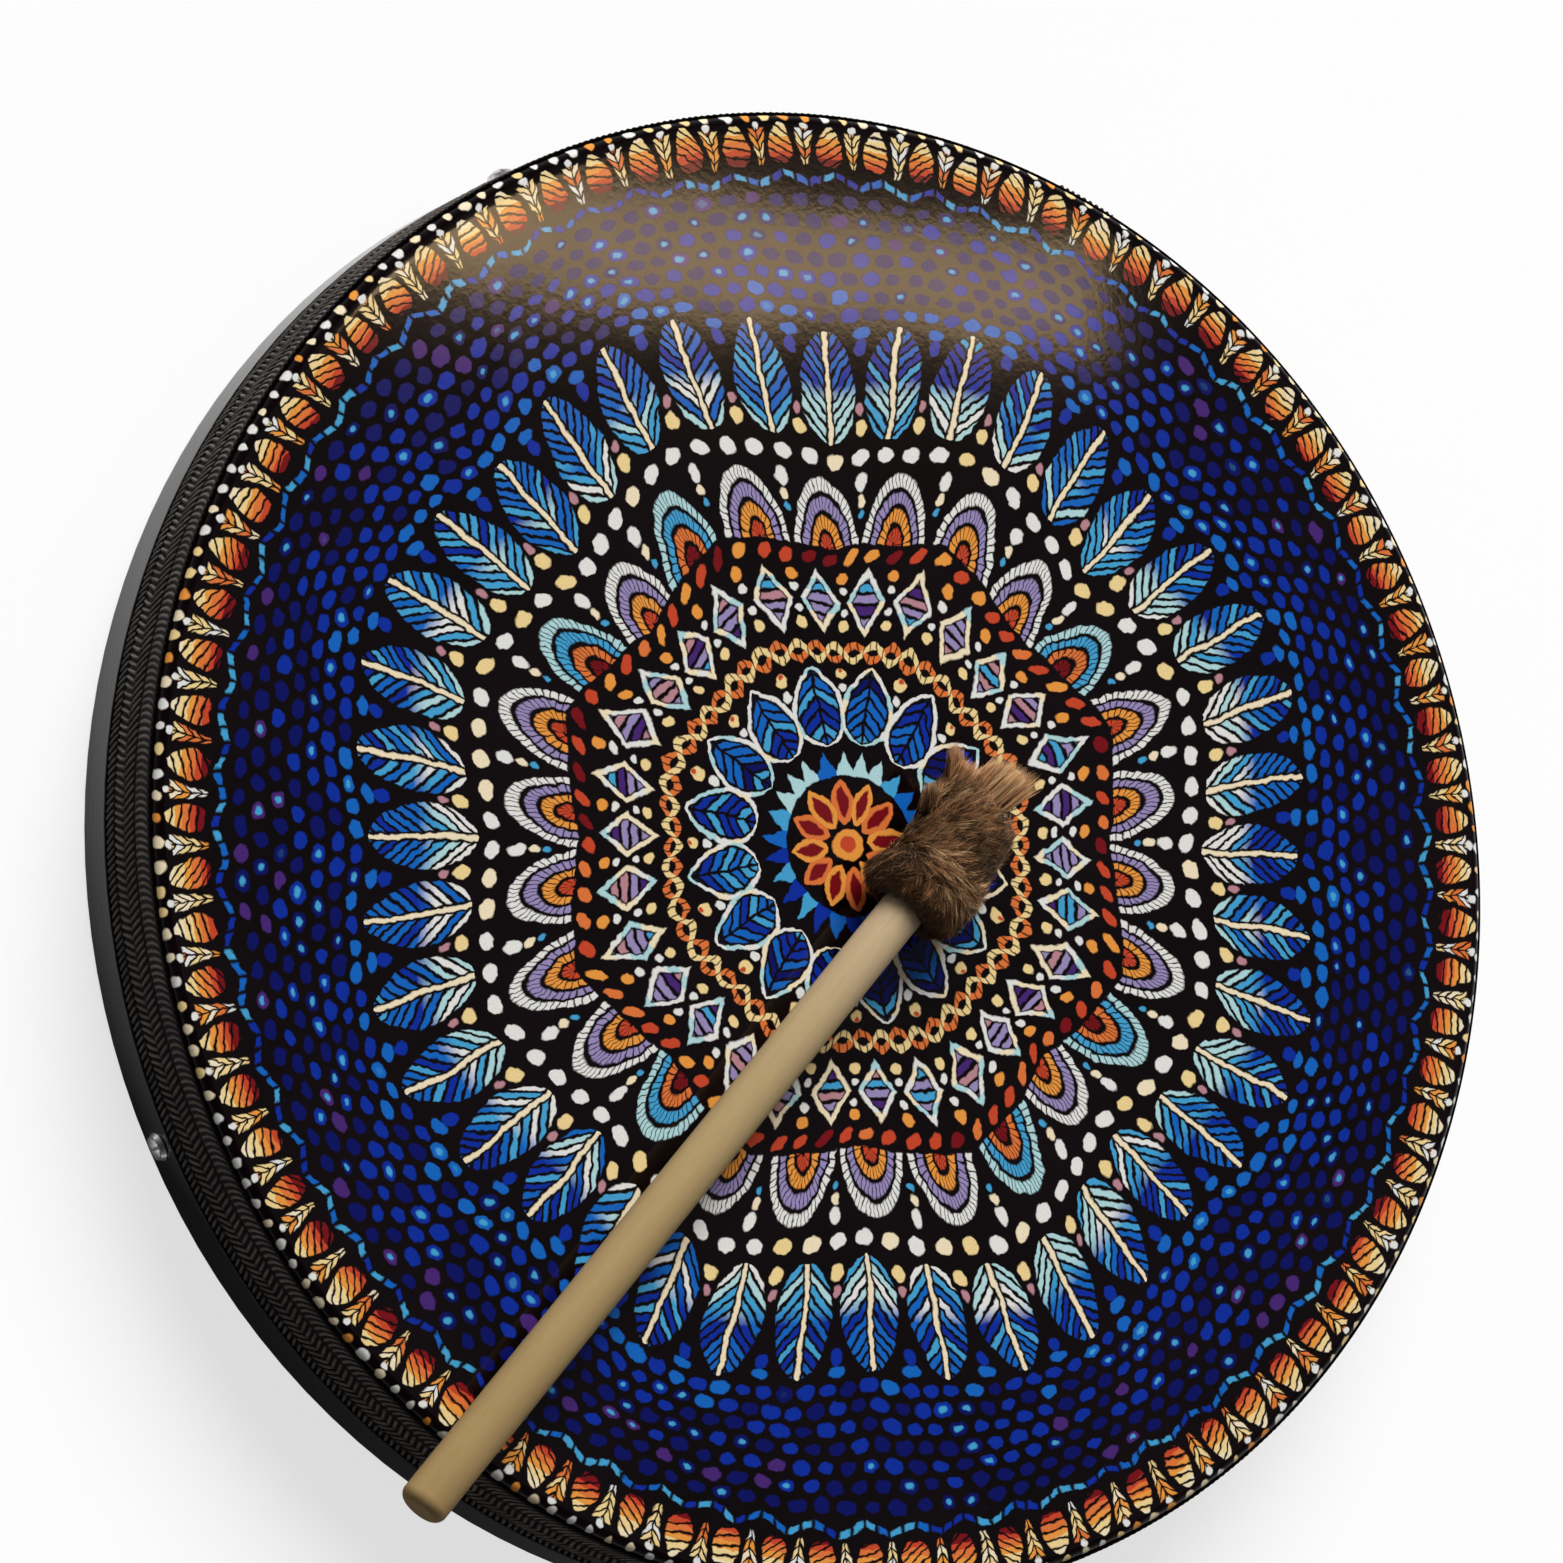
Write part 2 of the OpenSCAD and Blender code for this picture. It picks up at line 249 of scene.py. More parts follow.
# The colours of the print
CREAM, IVORY, WHITE = tint(244, 216, 152), tint(246, 230, 196), tint(234, 234, 230)
AMBER, ORANGE, RUST, BLOOD = tint(238, 156, 68), tint(226, 120, 60), tint(202, 72, 42), tint(120, 16, 24)
NAVY, ROYAL, AZURE = tint(6, 16, 98), tint(8, 46, 158), tint(18, 102, 194)
SKY, AQUA = tint(70, 164, 214), tint(180, 220, 224)
LILAC, MAUVE, PLUM = tint(156, 142, 190), tint(188, 136, 146), tint(72, 38, 116)
GROUND, SOOT = tint(7, 2, 3), tint(14, 5, 8)


def oval(x, y, across, out):
    """How far a point lies from the middle of an oval, 1 on its edge: the root of the two shares' squares."""
    return ((x / across) ** 2.0 + (y / out) ** 2.0) ** 0.5


class Print:
    """The head's print. It holds the radius and turn of a point in millimetres, a little unsteady as brushwork is, with
    the radius running on down the fold, the same radius drawn in and out into eight soft star points, and the colour
    laid so far."""

    def __init__(self, shader):
        point = spot(shader)
        wander, quiver = (
            vector("SUBTRACT", noise(point, waves, 1.0, 0.5)["Color"], (0.5, 0.5, 0.5)) for waves in (55.0, 330.0))
        stray = vector("MULTIPLY", quiver, (1.9, 1.9, 0.0))
        unsteady = vector("MULTIPLY_ADD", wander, (4.2, 4.2, 0.0), stray)
        plan = vector("MULTIPLY", point, (1000.0, 1000.0, 0.0))
        flat = vector("ADD", plan, unsteady)
        x, y, _ = parts_of(flat)
        drop = (64.0 - parts_of(point)[2] * 1000.0).most(0.0).least(4.5)
        self.r = Level(vector("LENGTH", flat)) + drop
        self.true_r = Level(vector("LENGTH", plan))
        self.round_fold = self.true_r + drop
        self.turn = y.work("ARCTAN2", x) / TURN + 0.5
        star = abs((self.turn * 8.0).fract() - 0.5) * 2.0 - 0.5
        swell = self.r.fit(56.0, 128.0) * self.r.fit(256.0, 200.0)
        self.rho = self.r - star * swell * 15.0
        self.colour = blend(grainy(point, 16.0, 3.0).fit(0.35, 0.7), GROUND, SOOT)

    def ring(self, inner, outer, count, shift=0.0):
        """A ring of equal cells: x across a cell from its middle line and y outwards, in mm, v outwards from 0 to 1,
        and the cell."""
        u = self.turn * count + shift
        x = (u.fract() - 0.5) * self.r * (TURN / count)
        y = self.rho - inner
        return x, y, (y / (outer - inner)).clamp(), u.floor() % count

    def cells(self, cell, seed, colours):
        """One of the colours for each cell, by chance."""
        return even_steps(chance(cell, seed), colours)

    def lay(self, share, colour):
        """Lays a colour by a share over what is there."""
        self.colour = blend(share, self.colour, colour)

    def dab(self, x, y, across, out, middle):
        """The share of an oval dab about a point on the cell's middle line."""
        return (1.0 - oval(x, y - middle, across, out)).over(BRUSH / min(across, out))

    def dots(self, band, count, rows):
        """Lays dabs between the cells of a ring: each row is a dab's place outwards, two half widths and colour."""
        x, y, _, _ = self.ring(*band, count, 0.5)
        for middle, across, out, colour in rows:
            self.lay(self.dab(x, y, across, out, middle), colour)

    def leaf(self, x, v, half, power):
        """Room left inside a leaf: half its width times the sine of the way along it to a power, less the distance from
        its rib."""
        return (v * np.pi).sine().most(0.0) ** power * half - abs(x)

    def within(self, inner, outer):
        """1 between two radii."""
        return (self.rho - inner).over() * (outer - self.rho).over()


def print_heart(art):
    """The middle: a disc, twelve leaves, and a ring of small peaks."""
    for size, colour in ((6.2, AMBER), (3.2, RUST)):
        art.lay((size - art.r).over(0.6), colour)
    band = (8.0, 25.0)
    x, _, v, cell = art.ring(*band, 12)
    room = art.leaf(x, v, 4.7, 0.75)
    inside = art.within(*band)
    art.lay(room.over() * inside, art.cells(cell % 2.0, 3.0, [ORANGE, CREAM, AMBER]))
    art.lay((room - 2.3).over(0.6) * inside, BLOOD)
    band = (26.5, 36.0)
    x, _, v, cell = art.ring(*band, 26)
    peaks = ((1.0 - v) * 4.2 - abs(x)).over() * art.within(*band)
    art.lay(peaks, art.cells(cell, 8.0, [AZURE, SKY, AQUA, ROYAL]))


def print_lotus(art):
    """Sixteen pointed leaves with a white edge, filled with slanting blue dabs, and a plaited line outside them."""
    band = (38.5, 69.0)
    inside = art.within(*band)
    x, y, v, cell = art.ring(*band, 16)
    room = art.leaf(x, v ** 0.8, 10.8, 0.7)
    edge = (room.over() - (room - 1.9).over()) * inside
    art.lay(edge, art.cells(cell + (y / 5.5).floor() * 17.0, 5.0, [WHITE, IVORY, WHITE, AQUA]))
    slant = (y + abs(x) * 0.8) / 4.6
    dabs = (room - 3.0).over() * slant.bars(0.33, 0.12) * (abs(x) - 0.6).over(0.4)
    art.lay(dabs * inside, art.cells(cell + slant.floor() * 31.0, 2.0, [ROYAL, AZURE, SKY, NAVY, AZURE]))
    art.dots(band, 16, ((27.0, 2.4, 2.4, CREAM), (21.0, 1.8, 1.8, WHITE), (28.5, 0.9, 0.9, RUST)))
    wave = (art.turn * (TURN * 30.0)).sine() * 3.0
    beads = (art.turn * 180.0).bars(0.4, 0.16)
    y = art.rho - 75.0
    for strand, colour in ((y + wave, ORANGE), (y - wave, CREAM)):
        art.lay((1.5 - abs(strand)).over() * beads, colour)


def print_diamonds(art):
    """Thirty lozenges in stripes of lilac and mauve with a white edge, dots between them, and a ring of red dashes."""
    band = (81.5, 108.0)
    x, y, _, cell = art.ring(*band, 30)
    far = 1.0 - (abs(x) / 8.2 + abs(y - 13.2) / 13.0)
    edge = far.over(0.08) - (far - 0.26).over(0.08)
    art.lay(edge, art.cells(cell + (y / 4.4).floor() * 13.0, 4.0, [WHITE, IVORY, AQUA]))
    step = y / 4.1
    stripes = (far - 0.36).over(0.08) * step.bars(0.32, 0.12)
    art.lay(stripes, art.cells(cell + step.floor() * 29.0, 7.0, [LILAC, MAUVE, PLUM, LILAC, SKY]))
    art.dots(band, 30, (
        (4.0, 2.1, 2.1, CREAM), (9.2, 1.5, 1.5, WHITE), (18.0, 1.7, 1.7, WHITE), (23.4, 2.3, 2.3, AMBER)))
    x, y, _, cell = art.ring(109.5, 116.0, 76)
    dashes = art.dab(x + (y - 3.2) * 0.5, y, 2.6, 2.9, 3.2)
    art.lay(dashes, art.cells(cell, 6.0, [RUST, ORANGE, RUST, AMBER, BLOOD]))


def print_arches(art):
    """Twenty-six nested arches of dabs, white or pale blue at the crown and red at the foot, white drops between their
    crowns, and a ring of pearls."""
    band, half, high = (117.5, 147.5), 13.6, 29.0
    x, y, _, cell = art.ring(*band, 26)
    far = oval(x, y, half, high)
    course = far * 4.0
    spoke = (y / high).work("ARCTAN2", x / half) * 3.6
    gaps = (spoke * (course.floor() + 1.0) * 0.55).bars(0.4, 0.14)
    arches = course.bars(0.34, 0.12) * (0.99 - far).over(0.04) * gaps * art.within(*band)
    tones = even_steps(far, (RUST, AMBER, LILAC, WHITE))
    other = even_steps(far, (BLOOD, ORANGE, SKY, AQUA))
    art.lay(arches, blend((chance(cell, 17.0) - 0.6).over(0.02), tones, other))
    art.dots(band, 26, ((25.5, 2.2, 3.6, WHITE), (18.6, 1.5, 2.3, IVORY), (13.6, 1.1, 1.6, SKY)))
    x, y, _, cell = art.ring(149.0, 157.0, 86)
    art.lay(art.dab(x, y, 3.4, 3.1, 4.0), art.cells(cell, 9.0, [WHITE, IVORY, WHITE, WHITE, CREAM]))


def print_feathers(art):
    """Forty feathers: a pale rib, and barbs that slant outwards from it, white and light blue near the middle of the
    drum and deeper blue at the tip."""
    band = (159.5, 203.5)
    inside = art.within(*band)
    x, y, v, cell = art.ring(*band, 40)
    room = art.leaf(x, v ** 0.9, 11.6, 0.55)
    art.lay((0.9 - abs(x)).over() * (room - 0.8).over() * inside, IVORY)
    slant = (y - abs(x) * 1.15) / 4.9
    barbs = room.over() * slant.bars(0.31, 0.12) * (abs(x) - 1.9).over()
    barb = cell + slant.floor() * 41.0
    light = art.cells(barb, 11.0, [WHITE, AQUA, SKY, AQUA, AZURE, SKY])
    deep = art.cells(barb, 12.0, [AZURE, ROYAL, AZURE, SKY, AZURE, ROYAL])
    art.lay(barbs * inside, blend((v - 0.44).over(0.16), light, deep))
    art.dots(band, 40, (
        (5.0, 2.6, 3.2, CREAM), (12.0, 1.5, 2.2, MAUVE), (36.0, 2.4, 3.2, ROYAL), (41.5, 3.4, 2.2, AZURE)))


def print_scales(art):
    """Seven rows of deep blue dabs set half over, with a lighter eye in some, and a zigzag line outside them."""
    inner, outer, tall, count = 204.5, 251.4, 6.6, 148.0
    y = (art.rho - inner) / tall
    row = y.floor()
    u = art.turn * count + (row % 2.0) * 0.5
    x = (u.fract() - 0.5) * art.r * (TURN / count)
    y = (y.fract() - 0.5) * tall
    cell = u.floor() % count + row * 163.0
    size = chance(cell, 21.0)
    inside = art.within(inner, outer)
    far = oval(x, y, size + 2.9, size * 0.7 + 2.0)
    near = (row / 7.0 + chance(cell, 14.0) * 0.5).clamp()
    blues = ramp(near, [
        (0.0, AZURE), (0.2, ROYAL), (0.42, NAVY), (0.6, ROYAL), (0.78, NAVY), (0.9, PLUM), (0.95, NAVY)], steps=True)
    art.lay((1.0 - far).over(0.2) * inside, blues)
    eye = (0.45 - far).over(0.25) * (chance(cell, 33.0) - 0.8).over(0.02)
    art.lay(eye * inside, SKY)
    bead = art.turn * 300.0
    bend = abs((art.turn * 75.0).fract() - 0.5) * 8.0
    line = (1.1 - abs(art.rho - 252.6 - bend)).over() * bead.bars(0.36, 0.16)
    art.lay(line, art.cells(bead.floor(), 15.0, [SKY, AZURE, ROYAL]))


def print_rim(art):
    """The border: upright drops of orange and cream bars, sprays of slanting dabs between them with a dot over each,
    and dots cut off at the fold."""
    band = (259.4, 275.2)
    x, y, v, cell = art.ring(*band, 84)
    room = art.leaf(x, (v * 0.94 + 0.03) ** 0.75, 5.3, 0.6)
    lean = y + (chance(cell, 40.0) - 0.5) * x * 1.8
    drops = room.over() * (lean / 3.4).bars(0.35, 0.13) * art.within(*band)
    art.lay(drops, ramp(v + (chance(cell, 41.0) - 0.5) * 0.3, [
        (0.0, BLOOD), (0.12, RUST), (0.26, ORANGE), (0.46, AMBER), (0.64, CREAM), (0.88, IVORY)], steps=True))
    x, y, v, cell = art.ring(257.6, 275.2, 84, 0.5)
    slant = (y - abs(x) * 1.3) / 3.5
    spray = slant.bars(0.34, 0.13) * (y * 0.2 + 0.5 - abs(x)).over() * (4.6 - abs(x)).over()
    spray = spray * (abs(x) - 0.35).over(0.4) * art.within(259.1, 273.6)
    art.lay(spray, art.cells(cell + slant.floor() * 19.0, 43.0, [CREAM, AMBER, IVORY, ORANGE, CREAM, WHITE]))
    art.lay(art.dab(x, y, 1.5, 1.4, 17.4), WHITE)
    x, y, v, cell = art.ring(276.4, 283.4, 208)
    size = chance(cell, 45.0) * 0.9
    dots = (1.0 - oval(x, y - 3.3, size + 1.4, size + 2.4)).over(0.3) * (282.7 - art.round_fold).over(0.3)
    art.lay(dots, art.cells(cell, 46.0, [WHITE, IVORY, WHITE, CREAM, IVORY, AMBER]))


MOTIFS = (print_heart, print_lotus, print_diamonds, print_arches, print_feathers, print_scales, print_rim)


def painted_skin(name, shine, dull):
    """The printed skin: a film of that shine and dullness over the print on its outside, plain cream skin inside."""
    finish, shader = new_finish(name)
    art = Print(shader)
    for motif in MOTIFS:
        motif(art)
    point = spot(shader)
    speck = grainy(point, 1500.0)
    printed = blend(speck.fit(0.2, 0.8) * 0.22, art.colour, GROUND)
    fibre = grainy(point, (40.0, 160.0, 40.0), 4.0)
    plain = blend(fibre, tint(214, 198, 162), tint(186, 164, 124))
    height = parts_of(point)[2] * 1000.0
    outside = (height - 63.45).most(art.true_r - 278.65).most(height + art.true_r - 339.9).over(0.3)
    ink = Level(add(shader.id_data, "SeparateColor", {0: printed}, mode="HSV").outputs[2]).fit(0.015, 0.07)
    scuff = grainy(point, 70.0, 4.0, 0.65)
    paint(shader, blend(outside, plain, printed), scuff * 0.03 + dull + ink * 0.035, shine)
    relief(shader, grainy(point, 420.0) * 0.05 + grainy(point, 14.0, 1.0), 0.12 * MM)
    return finish


def black_lacquer():
    """Gloss black lacquer on bent wood: long shallow waves round the hoop, fine peel, and wear at the back edge."""
    finish, shader = new_finish("black_lacquer")
    point = spot(shader)
    x, y, z = parts_of(point)
    along = add(shader.id_data, "CombineXYZ", {0: y.work("ARCTAN2", x) * 2.2, 1: z * 240.0})
    streaks = grainy(along.outputs[0], 3.0, 3.0, 0.6)
    peel = grainy(point, 520.0)
    ragged = (grainy(point, 160.0, 4.0, 0.7) - 0.5) * 0.0022
    worn = (0.0011 - z + ragged).over(0.0008) * grainy(point, 60.0, 3.0).fit(0.56, 0.72)
    dust = grainy(point, 900.0, 3.0).fit(0.55, 0.9)
    black = blend(dust * 0.35, tint(7, 4, 4), tint(22, 17, 16))
    paint(shader, blend(worn, black, tint(92, 66, 44)), streaks * 0.08 + 0.03 + worn * 0.35, 0.22)
    relief(shader, streaks + peel * 0.05, 0.07 * MM)
    return finish


def oiled_wood(name, light, dark, corner, turn, rings, gloss):
    """Oiled wood whose grain runs along the frame's x: broad figure, fine pores and end-to-end colour drift."""
    finish, shader = new_finish(name)
    point = spot(shader, corner, turn)
    figure = grainy(point, (7.0, rings, rings), 4.0, 0.6)
    pores = grainy(point, (60.0, 1500.0, 1500.0), 2.0, 0.6)
    drift = grainy(point, 9.0)
    share = figure.fit(0.32, 0.7) * 0.6 + pores.fit(0.45, 0.8) * 0.3 + drift * 0.15
    paint(shader, blend(share, light, dark), pores * 0.12 + gloss)
    relief(shader, pores * 0.6 + figure * 0.4, 0.10 * MM)
    return finish


STICK_TONES = [
    (0.0, tint(160, 135, 91)), (0.5, tint(168, 144, 101)), (0.72, tint(175, 153, 112)), (1.0, tint(193, 171, 138))]


def beater_wood():
    """Sanded bare dowel: pale beige at the fur, darker and warmer towards the butt, with fine grain along it."""
    finish, shader = new_finish("stick_wood")
    point = spot(shader, NECK.tolist(), (0.0, -TILT, HEADING))
    run = parts_of(point)[0]
    base = ramp(run.fit(-0.30, 0.0), STICK_TONES)
    figure = grainy(point, (10.0, 260.0, 260.0), 4.0, 0.6)
    pores = grainy(point, (120.0, 2600.0, 2600.0), 2.0, 0.6)
    shade = figure.fit(0.35, 0.75) * 0.15 + pores.fit(0.4, 0.85) * 0.2
    grip = run.fit(-0.2, -0.29) * grainy(point, 40.0, 3.0).fit(0.3, 0.7) * 0.22
    paint(shader, blend(shade + grip, base, tint(126, 98, 62)), pores * 0.15 + 0.62, 0.15)
    relief(shader, pores * 0.7 + figure * 0.3, 0.08 * MM)
    return finish


def plated_steel():
    """Bright nickel with a few dull spots."""
    finish, shader = new_finish("plated_steel")
    dull = grainy(spot(shader), 700.0, 3.0, 0.6)
    colour = blend(dull.fit(0.5, 0.8), tint(206, 203, 205), tint(150, 147, 150))
    paint(shader, colour, dull * 0.2 + 0.14)
    feed(shader.inputs["Metallic"], 1.0)
    relief(shader, dull, 0.02 * MM)
    return finish


def woven_tape():
    """Black twisted thread with a faint brown cast and fibre. The hollows between the cords are painted black as
    painted shade, and the crowns light grey as a painted highlight, with random lighter patches on them.
    """
    finish, shader = new_finish("woven_tape")
    point = spot(shader)
    crown = Level(add(shader.id_data, "Attribute", attribute_name="crown").outputs["Fac"])
    fibre = grainy(point, 1700.0, 2.0, 0.6)
    faded = grainy(point, 45.0, 3.0)
    # painted highlight: the crowns of the black cords are light grey, with random lighter patches
    top = blend(fibre.fit(0.3, 0.8), tint(86, 79, 74), tint(172, 164, 157))
    worn = blend(faded.fit(0.45, 0.75) * 0.4, top, tint(174, 166, 158))
    # painted shade: black where the crown level is low, in the hollows between the cords
    paint(shader, blend(crown.fit(0.42, 0.95), tint(4, 1, 1), worn), fibre * 0.25 + 0.5, 0.06)
    relief(shader, fibre, 0.12 * MM)
    return finish


# Strips of the hair's map, each one tone, and the tones from dark to tan
TONE_STRIPS = 64
HAIR_TONES = [
    (0.0, tint(24, 17, 11)), (0.28, tint(50, 37, 26)), (0.48, tint(89, 62, 43)), (0.66, tint(152, 101, 68)),
    (0.84, tint(186, 142, 98)), (1.0, tint(220, 186, 142))]


def fur_finish():
    """Hair coloured by its own map: across it go strips of one tone each from dark to tan, along it root to tip:
    each hair goes near black towards its root as painted shade down in the coat, and a little lighter tan at its tip.
    """
    finish, shader = new_finish("fur")
    u, v, _ = parts_of(add(shader.id_data, "UVMap", uv_map="OFBake").outputs[0])
    base = ramp(((u * TONE_STRIPS).floor() + 0.5) / TONE_STRIPS, HAIR_TONES)
    # painted shade: near black over the lower part of each hair, where the coat shades it
    root = blend(v.fit(0.0, 0.6), tint(14, 10, 7), base)
    paint(shader, blend(v.fit(0.6, 1.0) * 0.3, root, tint(214, 172, 124)), 0.42, 0.14)
    return finish


def matted_finish(name, waves, detail, rough, span, light, dark, dull, depth):
    """Matted wool: two colours in clumps of that many waves to the metre, with bump of that depth."""
    finish, shader = new_finish(name)
    wool = grainy(spot(shader), waves, detail, rough)
    paint(shader, blend(wool.fit(*span), light, dark), dull)
    relief(shader, wool, depth)
    return finish


def strap_finish():
    """Dark vegetable-tanned leather: pebbled grain, lighter on its worn crowns."""
    finish, shader = new_finish("strap_leather")
    pebble = Level(add(shader.id_data, "TexVoronoi", {"Vector": spot(shader), "Scale": 1400.0}).outputs["Distance"])
    paint(shader, blend(pebble.fit(0.0, 0.6), tint(70, 46, 32), tint(34, 22, 16)), pebble * 0.2 + 0.45)
    relief(shader, pebble, -0.15 * MM)
    return finish


# Mesh helpers
def put_mesh(name, points, faces, finish, body, slot):
    """A piece from whole arrays of points and of equal-sided faces, turned so that its faces look outwards: a shape
    whose faces look outwards has a positive volume, the sum of each corner triangle's triple product."""
    a, b, c = points[faces[:, 0]], points[faces[:, 1]], points[faces[:, -1]]
    if np.einsum("ij,ij->", a - points.mean(0), np.cross(b - a, c - a)) < 0:
        faces = faces[:, ::-1]
    sides = faces.shape[1]
    mesh = bpy.data.meshes.new(name)
    mesh.vertices.add(len(points))
    mesh.vertices.foreach_set("co", np.ascontiguousarray(points, np.float32).ravel())
    mesh.loops.add(faces.size)
    mesh.loops.foreach_set("vertex_index", np.ascontiguousarray(faces, np.int32).ravel())
    mesh.polygons.add(len(faces))
    mesh.polygons.foreach_set("loop_start", np.arange(0, faces.size, sides, dtype=np.int32))
    mesh.polygons.foreach_set("use_smooth", np.full(len(faces), True))
    mesh.update(calc_edges=True)
    mesh.validate()
    mesh.materials.append(finish)
    piece = set_out(name, mesh)
    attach(piece, body)
    return piece


def grid_faces(rows, columns, round_rows=False):
    """Four-sided faces between neighbours on a grid whose columns close on themselves, and whose rows may."""
    i = np.arange(rows if round_rows else rows - 1)[:, None]
    j = np.arange(columns)[None, :]
    k, m = (i + 1) % rows, (j + 1) % columns
    return np.stack([i * columns + j, i * columns + m, k * columns + m, k * columns + j], -1).reshape(-1, 4)


def closed_tube(points, rows, columns):
    """A tube's points and triangles, with each open end closed by a fan drawn in to its middle point."""
    quads = grid_faces(rows, columns)
    first, top = len(points), (rows - 1) * columns
    j = np.arange(columns)
    m = (j + 1) % columns
    start = np.stack([np.full(columns, first), m, j], -1)
    end = np.stack([np.full(columns, first + 1), top + j, top + m], -1)
    points = np.vstack([points, points[:columns].mean(0), points[-columns:].mean(0)])
    return points, np.vstack([quads[:, [0, 1, 2]], quads[:, [0, 2, 3]], start, end])


def turns(columns):
    """Even shares of a full turn, one for each column."""
    return np.arange(columns)[None, :] / columns


def round_points(radius, angle, level):
    """Points of a turned shape, row by row, from grids of their radius, angle and height."""
    grids = np.broadcast_arrays(radius * np.cos(angle), radius * np.sin(angle), level)
    return np.stack(grids, -1).reshape(-1, 3)


def corners_of(piece):
    """The point that each face corner stands on."""
    corners = np.zeros(len(piece.data.loops), np.int32)
    piece.data.loops.foreach_get("vertex_index", corners)
    return corners


def lay_map(piece, chart):
    """Keeps a place on the flat map for each face corner."""
    piece.data.uv_layers.new(name="OFBake").data.foreach_set("uv", chart.astype(np.float32).ravel())


def unit(v):
    """Each vector at length one."""
    return v / np.maximum(np.linalg.norm(v, axis=-1, keepdims=True), 1e-9)


def ripple(x, y, z, seed):
    """Smooth unevenness between -1 and 1: the mean of six sine waves of mixed direction and length."""
    draw = np.random.RandomState(seed)
    way = draw.normal(size=(6, 3))
    phase = draw.uniform(0, TURN, 6)
    return np.mean([np.sin(w[0] * x + w[1] * y + w[2] * z + p) for w, p in zip(way, phase)], 0)


# The painted skin over the hoop
def make_head(face_finish, fold_finish):
    """The skin as one turned shape: a profile from the middle of its face, over the fold, down the skirt and back along
    its inside, carried round. The fold is a quarter circle of 3.7 mm outside and 2.6 mm inside. Its map lays the face
    out flat, and the skirt, the underside and the inside as narrow rings round a corner of it."""
    first, fold_r, fold_z, outer, inner = 4.0, 275.5, 60.3, 3.7, 2.6
    bow = np.linspace(0.0, np.pi / 2, 10)
    face = np.linspace(first, 272.0, 34)
    under = np.linspace(272.0, first, 12)
    hem = np.array([[279.2, 44.0], [279.2, 27.3], [279.0, 27.0], [278.3, 27.0], [278.1, 27.3]])
    r = np.concatenate([face, fold_r + outer * np.sin(bow), hem[:, 0], fold_r + inner * np.cos(bow), under])
    z = np.concatenate([
        0 * face + 64.0, fold_z + outer * np.cos(bow), hem[:, 1], fold_z + inner * np.sin(bow), 0 * under + 62.9])
    rows, columns = len(r), 480
    turn = turns(columns) * TURN
    points = round_points(r[:, None], turn, z[:, None]) * MM
    piece = put_mesh("painted_head", *closed_tube(points, rows, columns), face_finish, "drum", "painted_skin")
    piece.data.materials.append(fold_finish)
    middle, aside = 0.45, 0.86

    def circles(centre, reach):
        return np.stack([centre + reach * np.cos(turn), centre + reach * np.sin(turn)], -1)

    last = len(face) + len(bow) - 1
    on_face = np.arange(rows) <= last
    run = np.concatenate([[0.0], np.cumsum(np.hypot(np.diff(r), np.diff(z)))])
    spread = np.where(on_face, run + first, 0.0)[:, None] / 284.0 * 0.44
    rest = np.clip((run - run[last]) / (run[-1] - run[last]), 0, 1)[:, None]
    chart = np.where(on_face[:, None, None], circles(middle, spread), circles(aside, 0.125 - 0.123 * rest))
    chart = np.vstack([chart.reshape(-1, 2), [[middle, middle], [aside, aside]]])
    corners = corners_of(piece)
    spot_on = chart[corners].reshape(-1, 3, 2)
    row_of = np.minimum(corners // columns, rows).reshape(-1, 3)
    crossing = (row_of.min(1) == last) & (row_of.max(1) == last + 1)
    lifted = crossing[:, None] & (row_of == last)
    spot_on[lifted] = circles(aside, 0.13)[0][(corners % columns).reshape(-1, 3)[lifted]]
    lay_map(piece, spot_on)
    piece.data.polygons.foreach_set("material_index", (row_of.min(1) >= len(face)).astype(np.int32))
    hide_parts("drum_head")


# The woven tape round the hoop, and how many cords each weave has
LOOPS, RIBS, PLAITS = 640, 660, 600
CORD_COLUMNS = 8


def mark_crown(piece, stand):
    """Keeps the cords' height at each point, for the finish."""
    piece.data.attributes.new("crown", "FLOAT", "POINT").data.foreach_set("value", stand.astype(np.float32))


def cord_height(phase):
    """The crown of a round cord across one pitch: a half circle over two thirds of it, and a gap for the rest."""
    side = 2.0 * (phase - np.floor(phase)) - 1.0
    return np.sqrt(np.clip(1.0 - (side / 0.66) ** 2, 0.0, 1.0))


def leaning_cords(count, turn, up, lean, seed):
    """A row of round cords that lean by that many pitches from foot to head, each a little out of true, and dive in at
    both ends."""
    stray = 0.22 * ripple(turn * count * 0.9, up * 1.5, 0 * turn, seed)
    slack = 0.86 + 0.14 * ripple(turn * count * 1.7, up * 2.0, 0 * turn, seed + 30)
    dive = np.clip(1.0 - np.abs(2.0 * up - 1.0) ** 4, 0, 1) ** 0.5
    return cord_height(count * turn + lean * up + stray) * slack * dive


def lower_edge(turn, up):
    """Overcast cords along the tape's lower edge."""
    return leaning_cords(LOOPS, turn, up, 1.1, 4)


def upper_edge(turn, up):
    """Long overcast cords along the upper edge, bowed like a bracket."""
    return leaning_cords(RIBS, turn + 0.55 * (1.0 - (2.0 * up - 1.0) ** 2) / RIBS, up, -0.9, 6)


def plaited_field(turn, up):
    """Plait between the edges: two rows of cords that lean opposite ways and lap at the middle, as a herringbone."""
    low, high = np.clip(up / 0.54, 0, 1), np.clip((up - 0.46) / 0.54, 0, 1)
    return np.maximum(leaning_cords(PLAITS, turn, low, -1.25, 8), leaning_cords(PLAITS, turn, high, 1.25, 18))


